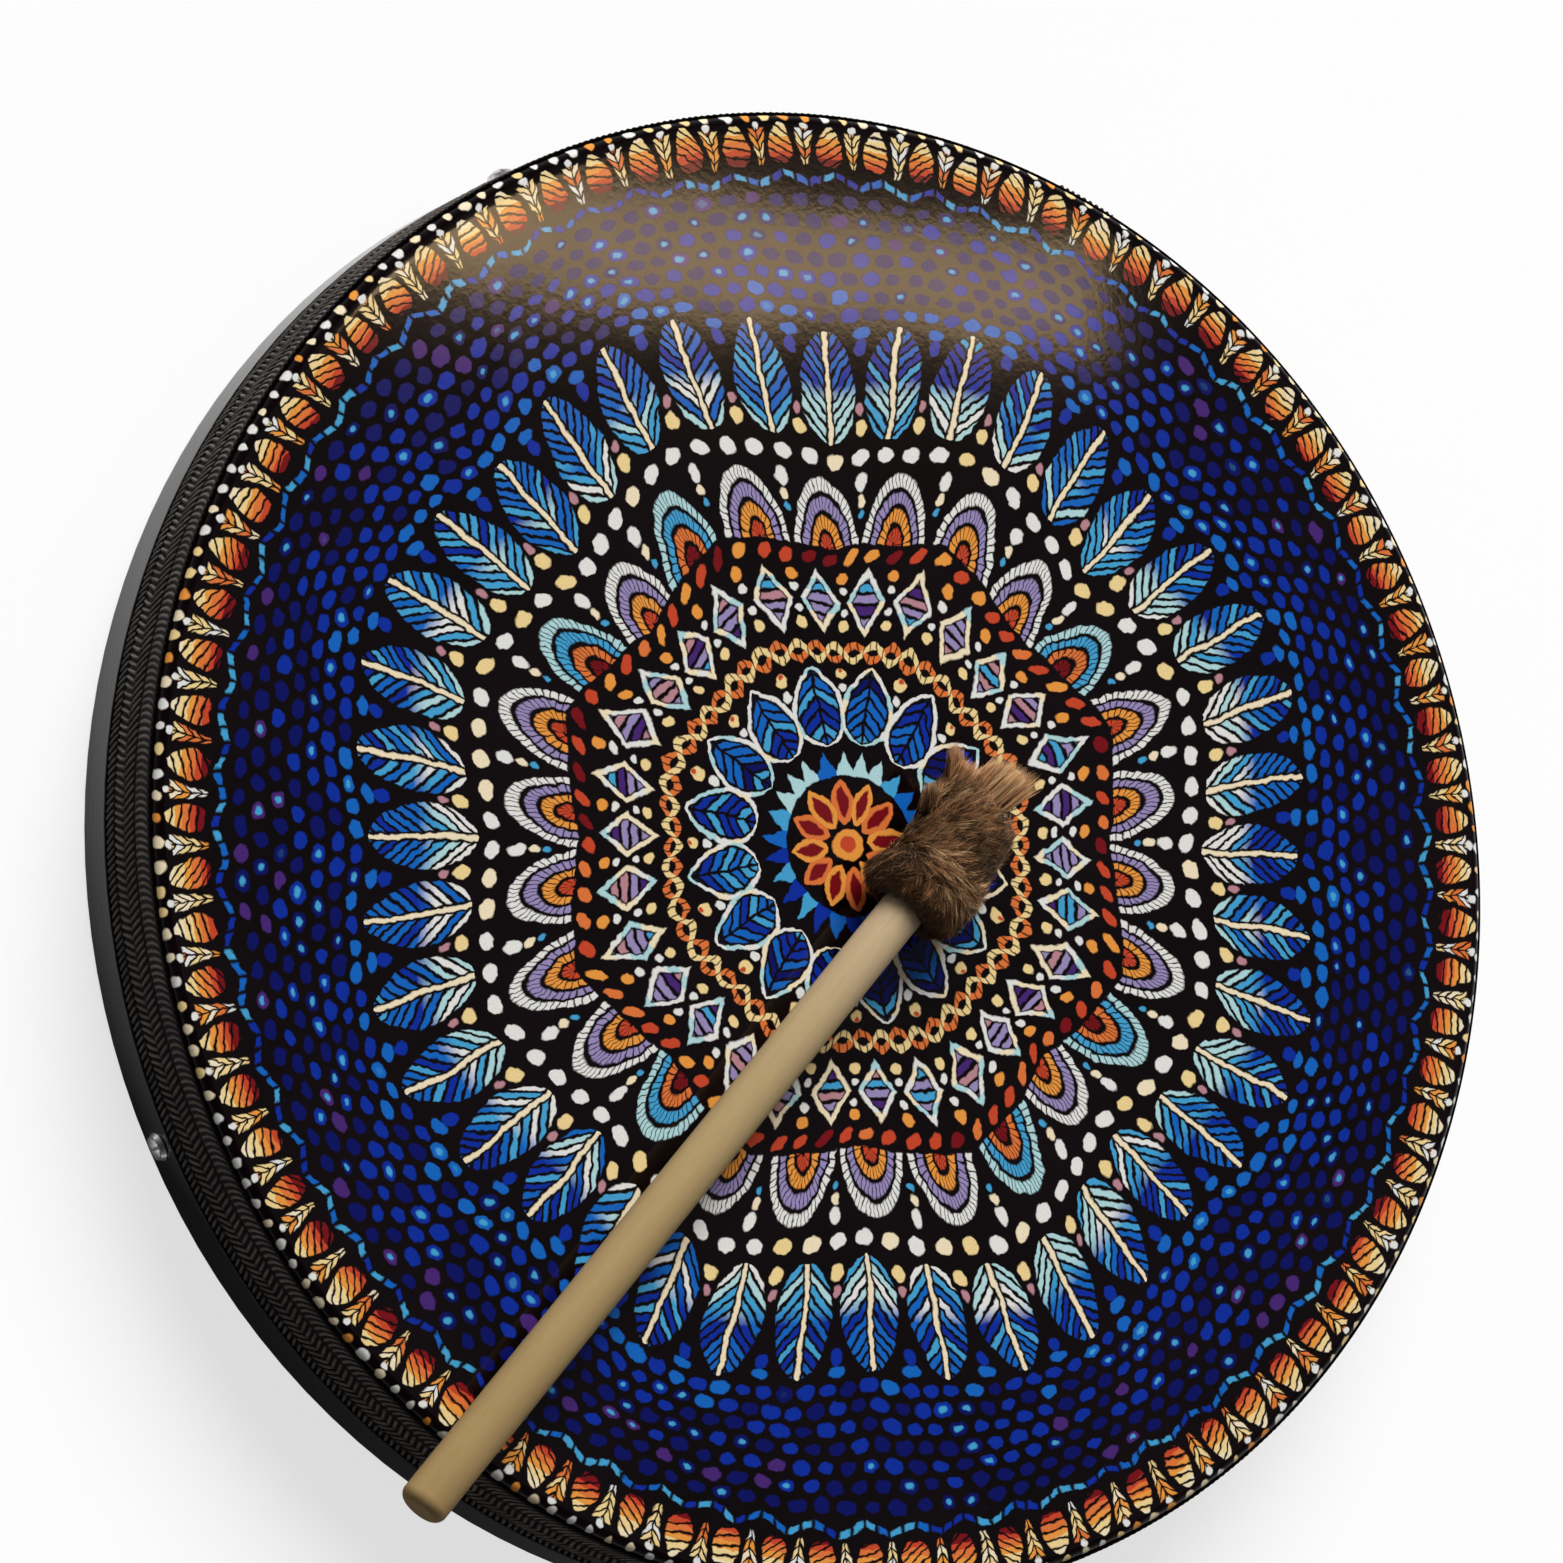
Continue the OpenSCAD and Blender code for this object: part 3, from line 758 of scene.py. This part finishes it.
def tape_strip(name, low, high, cords, rows, crown, body, relief_mm, finish):
    """One closed strip of the tape: a loop of rows, up the woven front and down the plain back, carried round the hoop.
    The front stands out from the seat by its body and by its relief times the crown, a function of the turn from 0 to 1
    and the way up from 0 to 1."""
    columns = cords * CORD_COLUMNS
    turn = turns(columns)
    up = np.linspace(0.0, 1.0, rows)[:, None]
    stand = crown(turn, up)
    back = np.ones((1, columns))
    seat = (TAPE_SEAT - 0.05 * MM) * back
    radius = np.vstack([TAPE_SEAT + (body + relief_mm * stand) * MM, seat, seat])
    level = np.vstack([low + (high - low) * up + 0.0 * turn, high * back, low * back])
    points = round_points(radius, turn * TURN, level)
    piece = put_mesh(name, points, grid_faces(rows + 2, columns, True), finish, "drum", "woven_tape")
    mark_crown(piece, np.vstack([stand, 0 * back, 0 * back]).ravel())
    return piece


def tape_lap(finish):
    """The tape's end laid over its start: the three zones of the weave in one section, up the woven front and down the
    plain back, carried along a short arc. Both ends and both edges press down to the tape under them."""
    start, end, rows, columns = 129.7, 135.3, 42, 84
    turn = np.linspace(start, end, columns)[:, None] / 360.0
    height = np.linspace(TAPE_LOW + 0.3 * MM, TAPE_HIGH - 0.3 * MM, rows)[None, :]
    zones = ((TAPE_LOW, SEAM_LOW, lower_edge), (SEAM_LOW, SEAM_HIGH, plaited_field), (SEAM_HIGH, TAPE_HIGH, upper_edge))
    weave = [crown(turn, np.clip((height - low) / (high - low), 0, 1)) for low, high, crown in zones]
    stand = np.where(height < SEAM_LOW, weave[0], np.where(height < SEAM_HIGH, weave[1], weave[2]))
    ends = np.clip(np.minimum(turn * 360.0 - start, end - turn * 360.0) / 0.22, 0, 1) ** 0.5
    foot, top = height[0, 0], height[0, -1]
    edges = np.clip(np.minimum(height - foot, top - height) / (0.8 * MM), 0, 1) ** 0.5
    front = TAPE_SEAT + (0.5 + (0.9 + 1.3 * stand) * ends * edges) * MM
    back = np.ones((columns, 1))
    seat = (TAPE_SEAT + 0.3 * MM) * back
    radius = np.hstack([front, seat, seat])
    level = np.hstack([height + 0 * turn, top * back, foot * back])
    points = round_points(radius, turn * TURN, level)
    piece = put_mesh("tape_lap", *closed_tube(points, columns, rows + 2), finish, "drum", "woven_tape")
    mark_crown(piece, np.concatenate([np.hstack([stand * ends, 0 * back, 0 * back]).ravel(), [0, 0]]))


def dress_tape(finish):
    """The tape's plaited field, its two overcast edges, and the lap where it ends."""
    over = 0.2 * MM
    field = tape_strip("tape_weave", SEAM_LOW - over, SEAM_HIGH + over, PLAITS, 18, plaited_field, 0.4, 1.6, finish)
    tape_strip("tape_lower_edge", TAPE_LOW, SEAM_LOW, LOOPS, 11, lower_edge, 0.3, 1.6, finish)
    tape_strip("tape_upper_edge", SEAM_HIGH, TAPE_HIGH, RIBS, 13, upper_edge, 0.9, 0.8, finish)
    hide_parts("trim_band")
    tape_lap(finish)


# The beater's fur
def beater_point(s, side, rise):
    """A point given along the beater from its neck, across it and above its axis, in mm, as a place in the frame."""
    s, side, rise = (np.asarray(v, float)[..., None] * MM for v in (s, side, rise))
    return NECK + s * ALONG + side * ACROSS + rise * UPWARD


# Outline of the hide: way along, reach to the left and right, rise and depth under the axis, in mm
HIDE = np.array([
    [7.0, -9.0, 9.0, 9.0, 9.0], [4.6, -9.4, 9.4, 9.4, 9.4], [3.2, -11.2, 11.2, 10.8, 10.8],
    [3.4, -14.4, 13.8, 12.8, 12.8], [6.4, -18.2, 17.2, 15.6, 15.0], [12.0, -19.2, 20.2, 17.4, 16.2],
    [20.0, -17.2, 20.4, 17.6, 16.6], [30.0, -17.0, 18.0, 17.0, 16.4], [40.0, -18.6, 16.2, 16.2, 16.0],
    [48.0, -19.2, 14.9, 15.0, 14.8], [54.0, -16.4, 6.6, 9.8, 10.8], [57.6, -11.6, 1.8, 5.2, 6.0],
    [58.8, -6.0, -3.6, 0.8, 1.0]])
REST_DEPTH = 16.3
OFF_AXIS = np.array([0.0, 1.0, 1.0])


def hide_outline(t):
    """The hide's outline at a share t of its length: the table's rows joined by smooth cubic curves through them."""
    k = np.clip(np.asarray(t) * (len(HIDE) - 1), 0, len(HIDE) - 1.0001)
    i = k.astype(int)
    f = (k - i)[..., None]
    a, b, c, d = (HIDE[np.clip(i + step, 0, len(HIDE) - 1)] for step in (-1, 0, 1, 2))
    return b + 0.5 * f * (c - a + f * (2 * a - 5 * b + 4 * c - d + f * (3 * (b - c) + d - a)))


def hide_local(t, around):
    """Along, across and rise of the hide at a share t and a turn from its top: an oval between its left and right
    reach, drawn up to its rise and down to its depth, and flat where it lies on the head."""
    s, left, right, rise, depth = np.moveaxis(hide_outline(t), -1, 0)
    side = (left + right) / 2 + (right - left) / 2 * np.sin(around)
    up = np.where(np.cos(around) > 0, rise, depth) * np.cos(around)
    return np.stack([s, side, np.maximum(up, -REST_DEPTH + 0.015 * (s - 17.0))], -1)


def make_hide(finish):
    """The hide itself: its outline round the felt, with lumps where the gathers pull."""
    rows, columns = 61, 96
    t = np.linspace(0.0, 1.0, rows)[:, None] + np.zeros((1, columns))
    local = hide_local(t, turns(columns) * TURN + np.zeros((rows, 1)))
    lump = 0.7 * ripple(*np.moveaxis(local * 0.30, -1, 0), 3) * np.clip(t * 6 - 1.5, 0, 1)
    local = local + unit(local * OFF_AXIS) * lump[..., None]
    local[..., 2] = np.maximum(local[..., 2], -REST_DEPTH)
    points = beater_point(*np.moveaxis(local, -1, 0)).reshape(-1, 3)
    piece = put_mesh("fur_hide", *closed_tube(points, rows, columns), finish, "beater", "fur")
    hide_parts("beater_cover")


def hide_frame(t, around):
    """Place, way along, way round and way out of the hide at many points, in the beater's own mm, from small steps."""
    step = 1e-3
    here = hide_local(t, around)
    down = unit(hide_local(np.minimum(t + step, 1), around) - hide_local(np.maximum(t - step, 0), around))
    turned = unit(hide_local(t, around + step) - hide_local(t, around - step))
    out = unit(np.cross(down, turned))
    return here, down, turned, out * np.sign(np.einsum("ij,ij->i", out, here * OFF_AXIS + 1e-6))[:, None]


# Patches of lighter or darker hair: change of tone, place along and across the hide, and reach both ways in mm.
# # The two dark patches by the neck, 1 and 3 mm along, are painted shade, and the ginger patches about the parting,
# # 15 to 20 mm along, are partly painted highlight
PATCHES = (
    (0.5, 20, -7, 3.5, 11), (0.42, 15, 6, 5, 6), (0.34, 25, 22, 13, 6), (0.34, 17, 13, 5, 7), (0.2, 35, -11, 6, 8),
    (0.18, 54, 2, 9, 12), (-0.36, 27, 6, 8, 8), (-0.36, 1, 8, 6, 9), (-0.18, 3, -16, 6, 6))


def hair_tone(s, side, rise):
    """How light the hair is from 0 to 1: mid brown, darker in a patch on the right, and lighter towards the far end.
    Dark at the neck is painted shade where the fur gathers into the tie. Ginger along the parting is partly the
    hair's own colour and partly a painted highlight where light catches it, and the hair is ginger down the right
    side too. Hair below the axis is darker, painted shade under the beater. Each patch is a smooth round hill."""
    tone = 0.415 + 0.07 * np.sin(s * 0.21 + side * 0.33) + 0.06 * np.sin(s * 0.5 - side * 0.41 + 1.0)
    for change, at, across, run, wide in PATCHES:
        tone += change * np.exp(-(((s - at) / run) ** 2) - ((side - across) / wide) ** 2)
    # painted shade: hair rooted more than 4 mm below the axis, on the underside by the head, is a little darker
    return tone - 0.10 * (rise < -4)


def hair_way(s, side, draw):
    """Which way the hair lies, along and round the hide: back and outwards below the parting, on and to the right above
    it."""
    parting = 17.0
    above = 1.0 / (1.0 + np.exp(-(s - parting + 0.12 * side) / 2.6))
    on = -0.85 + 1.75 * above
    fan = np.clip(side / 16.0, -1, 1) * 0.9 * (1 - above) + 0.55 * above
    fan = fan + 0.9 * np.exp(-(((s - parting) / 4.0) ** 2))
    return on + draw.normal(0, 0.22, len(s)), fan + draw.normal(0, 0.28, len(s))


def strand_points(root, way, out, length, lift, bend, curl, thick):
    """Hairs as three-sided tapering tubes. A hair leaves its root at the lift angle, lies over towards its way as it
    goes, bends sideways with the square of the distance, and curls down over the hide the same way; three rings of
    three corners and a tip make it."""
    steps = np.array([0.0, 0.36, 0.72, 1.0])
    side = unit(np.cross(way, out))
    run = length[:, None] * steps
    rise = run * (np.sin(lift)[:, None] * (1 - 0.45 * steps)) - 0.5 * curl[:, None] * run ** 2
    on = run * np.cos(lift)[:, None]
    line = root[:, None, :] + on[..., None] * way[:, None, :] + rise[..., None] * out[:, None, :]
    line = line + (bend[:, None] * run * steps)[..., None] * side[:, None, :]
    corner = np.array([0.0, TURN / 3, 2 * TURN / 3])
    wide = thick[:, None] * np.array([1.0, 0.9, 0.6])
    ring = np.cos(corner)[:, None] * side[:, None, None, :] + np.sin(corner)[:, None] * out[:, None, None, :]
    tube = line[:, :3, None, :] + wide[:, :, None, None] * ring
    return np.concatenate([tube.reshape(len(root), 9, 3), line[:, 3:, :]], 1)


# One hair's faces, and its points' places along it and across its strip of the map
HAIR_FACES = np.array([[0, 2, 1]] + [
    f for i in (0, 3) for j, k in ((0, 1), (1, 2), (2, 0))
    for f in ([i + j, i + k, i + 3 + k], [i + j, i + 3 + k, i + 3 + j])] + [[6, 7, 9], [7, 8, 9], [8, 6, 9]])
HAIR_ALONG = np.array([0.02] * 3 + [0.36] * 3 + [0.72] * 3 + [0.98])
HAIR_SIDE = np.array([0.2, 0.5, 0.8] * 3 + [0.5])


def put_hair(name, local, tone, finish):
    """One piece from many hairs, kept just above the head. Each hair's place on the map is a strip by its tone, and the
    way along it is the height."""
    points = beater_point(*np.moveaxis(local, -1, 0)).reshape(-1, 3)
    points[:, 2] = np.maximum(points[:, 2], HEAD_TOP + 0.25 * MM)
    faces = (HAIR_FACES[None] + len(HAIR_ALONG) * np.arange(len(local))[:, None, None]).reshape(-1, 3)
    piece = put_mesh(name, points, faces, finish, "beater", "fur")
    strip = np.clip((tone * TONE_STRIPS).astype(int), 0, TONE_STRIPS - 1)
    u = (strip[:, None] + HAIR_SIDE[None, :]) / TONE_STRIPS
    chart = np.stack([u, np.broadcast_to(HAIR_ALONG[None, :], u.shape)], -1).reshape(-1, 2)
    lay_map(piece, chart[corners_of(piece)])


def coat(seed, clumps, each, reach, lift, thick, lighten, contrast, facing=0.0, breadth=1.15):
    """Hair in locks over the hide: each lock has a way, a length and a tip that its hairs draw together to. A lock that
    runs back over the mouth ends a little past it. The locks stand about a facing, a turn from the top, within a
    breadth."""
    draw = np.random.RandomState(seed)
    t = np.clip(draw.uniform(0.19, 1.0, clumps) ** 0.9, 0.17, 0.985)
    root, down, turned, out = hide_frame(t, draw.normal(facing, breadth, clumps))
    s = root[:, 0]
    on, fan = hair_way(s, root[:, 1], draw)
    way = unit(on[:, None] * down + fan[:, None] * turned)
    far = draw.uniform(0.7, 1.25, clumps) * reach
    room = (s - 1.6 + draw.normal(0, 0.7, clumps)) / np.maximum(-way[:, 0], 0.05)
    far = np.minimum(far, np.maximum(room, 1.5)) * (1.0 - 0.55 * np.clip((s - 42) / 10, 0, 1))
    tilt = np.radians(np.clip(draw.normal(lift, 5, clumps), 3, 60))
    curl = 0.9 * np.einsum("ij,ij->i", way, turned) ** 2 / 17.0 + 0.5 * np.clip(s - 40, 0, 14) / 14 / 17.0
    tone = hair_tone(*root.T) + draw.normal(0, contrast, clumps) + lighten
    bend = draw.normal(0, 0.22, clumps)
    pick = np.repeat(np.arange(clumps), each)
    n = len(pick)
    spread = draw.normal(0, 1.15, (n, 2))
    apart = spread[:, :1] * down[pick] + spread[:, 1:] * turned[pick]
    base = root[pick] + apart - 0.5 * out[pick]
    length = far[pick] * draw.uniform(0.75, 1.12, n)
    lie = unit(way[pick] * length[:, None] - 0.75 * apart)
    tilt = tilt[pick] + draw.normal(0, 0.06, n)
    bend = bend[pick] + draw.normal(0, 0.08, n)
    hair = strand_points(base, lie, out[pick], length, tilt, bend, curl[pick], draw.uniform(0.7, 1.2, n) * thick)
    return hair, np.clip(tone[pick] + draw.normal(0, 0.1, n), 0.01, 0.99)


def tuft(seed, count, start, tip, spread, fan, slant, tone, thick):
    """A standing tuft: hairs from an oval root patch that run to a fan of tips, straight but for a slight bow. The tips
    draw back on one side by the slant. Hairs whose roots lie side by side make a lock, which strays, ends and shades as
    one."""
    draw = np.random.RandomState(seed)
    start, tip = np.array(start, float), np.array(tip, float)
    way = unit(tip - start)
    side = unit(np.cross(way, [0.0, 0.0, 1.0]))
    out = np.cross(side, way)
    edge, locks = 1.9, 200
    place = np.clip(draw.normal(0, 1, (count, 2)), -edge, edge)
    base = start + place[:, :1] * spread[0] * side + place[:, 1:] * spread[1] * out
    lock = ((place[:, 0] + edge) * 5.0).astype(int) * 8 + ((place[:, 1] + edge) * 2.0).astype(int)
    stray = draw.normal(0, 0.9, (locks, 2))[lock]
    reach = draw.uniform(0.82, 1.03, locks)[lock]
    shade = draw.normal(0, 0.1, locks)[lock]
    ends = tip + place[:, :1] * (fan[0] * side - slant * way) + place[:, 1:] * fan[1] * out
    ends = ends + stray[:, :1] * side + stray[:, 1:] * out
    gap = ends - base
    length = np.linalg.norm(gap, axis=1) * reach * (1.06 - 0.36 * draw.uniform(0, 1, count) ** 1.8)
    lift = np.radians(draw.uniform(1, 6, count))
    bow = draw.normal(0, 0.03, count)
    thick = draw.uniform(0.7, 1.2, count) * thick
    hair = strand_points(base, unit(gap), np.broadcast_to(out, (count, 3)), length, lift, bow, np.zeros(count), thick)
    return hair, np.clip(tone + shade + draw.normal(0, 0.09, count), 0.01, 0.99)


# Coats over the hide: seed, locks, hairs in each, reach in mm, lift in degrees, thickness, lightening and contrast
COATS = (
    ("fur_under", 11, 1400, 8, 6.5, 18, 0.24, -0.16, 0.06), ("fur_locks", 23, 900, 12, 10.5, 12, 0.18, 0.0, 0.17),
    ("fur_guard", 37, 420, 10, 12.0, 12, 0.15, 0.1, 0.22), ("fur_fine", 41, 2800, 4, 9.0, 15, 0.11, 0.08, 0.25))
# Tufts: seed, hairs, root and tip in the beater's mm, spread of the root and fan of the tips, slant, tone and thickness
TUFTS = (
    (51, 2600, (49.5, -4, 3), (73, -1.5, 8.5), (4.0, 2.6), (4.7, 1.4), 1.6, 0.80, 0.14),
    (52, 900, (48, -13, 2), (62, -26, 5), (2.3, 2.0), (0.4, 0.5), 0.0, 0.6, 0.16),
    (53, 800, (36, -14, 2), (46.5, -22.5, 2), (2.8, 2.6), (1.6, 1.6), 0.0, 0.48, 0.16),
    (54, 1000, (49, -12.5, 3), (62, -15.5, 6), (3.4, 2.4), (3.4, 1.6), 0.0, 0.66, 0.16))


def together(*lots):
    """Several lots of hair as one, points and tones end to end."""
    return [np.concatenate(v) for v in zip(*lots)]


def make_fur():
    """The hide, four coats of hair, a halo of fine loose hair with more of it along the right side, and the tufts."""
    make_hide(matted_finish("pelt", 420.0, 4.0, 0.65, (0.3, 0.75), tint(24, 18, 14), tint(70, 53, 40), 0.9, 0.9 * MM))
    finish = fur_finish()
    for name, *lay in COATS:
        put_hair(name, *coat(*lay), finish)
    halo = coat(61, 1500, 4, 7.0, 36, 0.06, 0.02, 0.2)
    fluff = coat(67, 560, 4, 8.0, 44, 0.05, 0.16, 0.2, facing=1.3, breadth=0.25)
    put_hair("fur_halo", *together(halo, fluff), finish)
    put_hair("fur_tufts", *together(*(tuft(*lay) for lay in TUFTS)), finish)


def make_core(finish):
    """The felt bulb: a rounded profile turned about the stick, a little lumpy as wound wool is."""
    s = np.array([9.6, 9.6, 10.2, 12.0, 15.4, 20, 26, 32, 38, 44, 47.0, 49.0, 49.9, 49.9, 47, 30, 12])
    r = np.array([8.8, 10, 12.2, 14.2, 15, 15, 15, 15, 15, 14.6, 13.2, 11, 9, 8.8, 8.75, 8.75, 8.75])
    s, r, columns = s[:, None], r[:, None], 72
    around = turns(columns) * TURN
    wool = 0.12 * ripple(s * 0.8, np.cos(around) * 9, np.sin(around) * 9, 13)
    radius = r + (wool - 0.1) * (r > 9.5)
    points = beater_point(s + 0 * around, radius * np.sin(around), radius * np.cos(around)).reshape(-1, 3)
    piece = put_mesh("felt_bulb", points, grid_faces(len(s), columns, True), finish, "beater", "felt")
    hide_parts("beater_core")


# The tie's section: way along the stick and thickness, in mm
TIE = np.array([
    [0.7, 0.0], [3.0, -0.08], [6.3, 0.0], [6.5, 0.2], [6.5, 0.7],
    [6.2, 0.95], [3.5, 1.05], [0.8, 0.95], [0.5, 0.7], [0.5, 0.2]])


def make_strap(finish):
    """The tie: a flat strip wound once and a sixth round the hem, its loose end riding up over its start."""
    columns = 120
    turn = np.linspace(0.0, 1.16, columns)[:, None]
    climb = np.clip((turn - 0.94) / 0.08, 0, 1)
    radius = 10.42 + TIE[None, :, 1] + 1.05 * climb ** 2 * (3 - 2 * climb)
    angle = turn * TURN + 2.0
    points = beater_point(TIE[None, :, 0] + 0 * radius, radius * np.sin(angle), radius * np.cos(angle)).reshape(-1, 3)
    piece = put_mesh("neck_tie", *closed_tube(points, columns, len(TIE)), finish, "beater", "strap_leather")
    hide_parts("neck_strap")


# Dressing the solids
steel = plated_steel()
dress("shell", black_lacquer())
make_head(painted_skin("painted_skin", 0.5, 0.045), painted_skin("folded_skin", 0.1, 0.3))
for node in ("head_tacks", "handle_screws", "screw_cups"):
    dress(node, steel)
BAR_WOODS = tint(176, 130, 82), tint(112, 70, 38)
DOWEL_WOODS = tint(128, 88, 54), tint(74, 44, 24)
QUARTER = np.pi / 2
dress("handle_bar", oiled_wood("bar_wood", *BAR_WOODS, (0, 0, 0.011), (0, 0, QUARTER), 150.0, 0.42))
dress("handle_cross_bar", oiled_wood("cross_bar_wood", *BAR_WOODS, (0, 0.004, 0.011), (0, 0, 0), 150.0, 0.42))
dress("lap_dowel", oiled_wood("dowel_wood", *DOWEL_WOODS, (0, 0, 0), (0, QUARTER, 0), 420.0, 0.45))
dress("beater_stick", beater_wood())
dress_tape(woven_tape())
make_fur()
make_core(matted_finish("felt", 520.0, 5.0, 0.7, (0.3, 0.7), tint(222, 214, 194), tint(186, 174, 148), 0.95, 0.5 * MM))
make_strap(strap_finish())


# Floor and light
def lay_floor():
    """A wide pale floor under the drum. Seen straight or in a polished face it is white paper, seen straight it is also
    part plain white, so that the shadow on it stays light, and what it throws back on the drum comes from a greyer
    paper."""
    half, plain_white = 24.0, 0.7
    mesh = bpy.data.meshes.new("floor")
    mesh.from_pydata([(-half, -half, 0), (half, -half, 0), (half, half, 0), (-half, half, 0)], [], [(0, 1, 2, 3)])
    finish, shader = new_finish("floor_paper")
    paper = blend(grainy(spot(shader), 3.0), tint(253, 253, 254), tint(251, 251, 252))
    tree = shader.id_data
    ray = add(tree, "LightPath").outputs
    straight, glossy, through = (Level(ray[f"Is {kind} Ray"]) for kind in ("Camera", "Glossy", "Transmission"))
    paint(shader, blend(straight.most(glossy).most(through), tint(104, 102, 101), paper), 0.95, 0.1)
    white = add(tree, "Emission")
    both = add(tree, "MixShader", {0: straight * plain_white, 1: shader.outputs[0], 2: white.outputs[0]})
    feed(tree.nodes["Material Output"].inputs[0], both.outputs[0])
    mesh.materials.append(finish)
    floor = set_out("floor", mesh)


def hang_lamp(name, kind, power, colour, place, right, back, mirrored):
    """A lamp at a place, whose columns are its right, up and back. Gloss shows it only where it is mirrored."""
    light = bpy.data.lights.new(name, kind)
    light.energy, light.color = power, colour
    holder = set_out(name, light)
    holder.matrix_world = Matrix([*zip(right, np.cross(back, right), back, place), (0, 0, 0, 1)])
    holder.visible_camera, holder.visible_glossy = False, mirrored
    return light


# The sky's grey and blue by height, from straight down at 0 to straight up at 1
SKY_SHADES = (
    (0.0, 1.0, 1.0), (0.535, 1.0, 1.0), (0.57, 0.65, 0.65), (0.62, 0.45, 0.45), (0.74, 0.3, 0.305), (0.86, 0.09, 0.093),
    (1.0, 0.09, 0.093))
# The strip lamps: shift along their line, length, width and power
STRIPS = (("strip", -0.05, 0.70, 0.085, 1.09), ("strip_end", -0.12, 0.36, 0.06, 0.3))


def light_studio():
    """A pale sky that is white at the far horizon, dimmer at the near side and overhead, a broad key from beyond the
    far side that no gloss mirrors, and strips that the glossy head mirrors along its far edge."""
    world = bpy.data.worlds.new("studio")
    bpy.context.scene.world = world
    tree = clear_tree(world)
    sky = add(tree, "Background")
    add(tree, "OutputWorld", {0: sky.outputs[0]})
    east, north, height = parts_of(add(tree, "TexCoord").outputs["Generated"])
    feed(sky.inputs["Strength"], (north * 0.56 - east * 0.2 + 0.8).least(1.0))
    shades = [(place, (grey, grey, blue, 1.0)) for place, grey, blue in SKY_SHADES]
    feed(sky.inputs["Color"], ramp(height * 0.5 + 0.5, shades))
    heading, rise, breadth = np.radians((148.0, 43.0, 38.0))
    right = np.array([-np.sin(heading), np.cos(heading), 0.0])
    back = np.array([np.cos(rise) * np.cos(heading), np.cos(rise) * np.sin(heading), np.sin(rise)])
    hang_lamp("key", "SUN", 3.85, (1.0, 0.99, 0.98), 3 * back, right, back, False).angle = breadth
    line, middle = np.array([0.4284, 0.9036, 0.0]), np.array([-0.262, 1.440, 2.47])
    for name, shift, long, wide, power in STRIPS:
        strip = hang_lamp(name, "AREA", power, (1.0, 0.70, 0.40), middle + shift * line, line, (0.0, 0.0, 1.0), True)
        strip.shape, strip.size, strip.size_y = "RECTANGLE", long, wide
    bpy.context.scene.view_settings.view_transform = "Standard"


lay_floor()
light_studio()
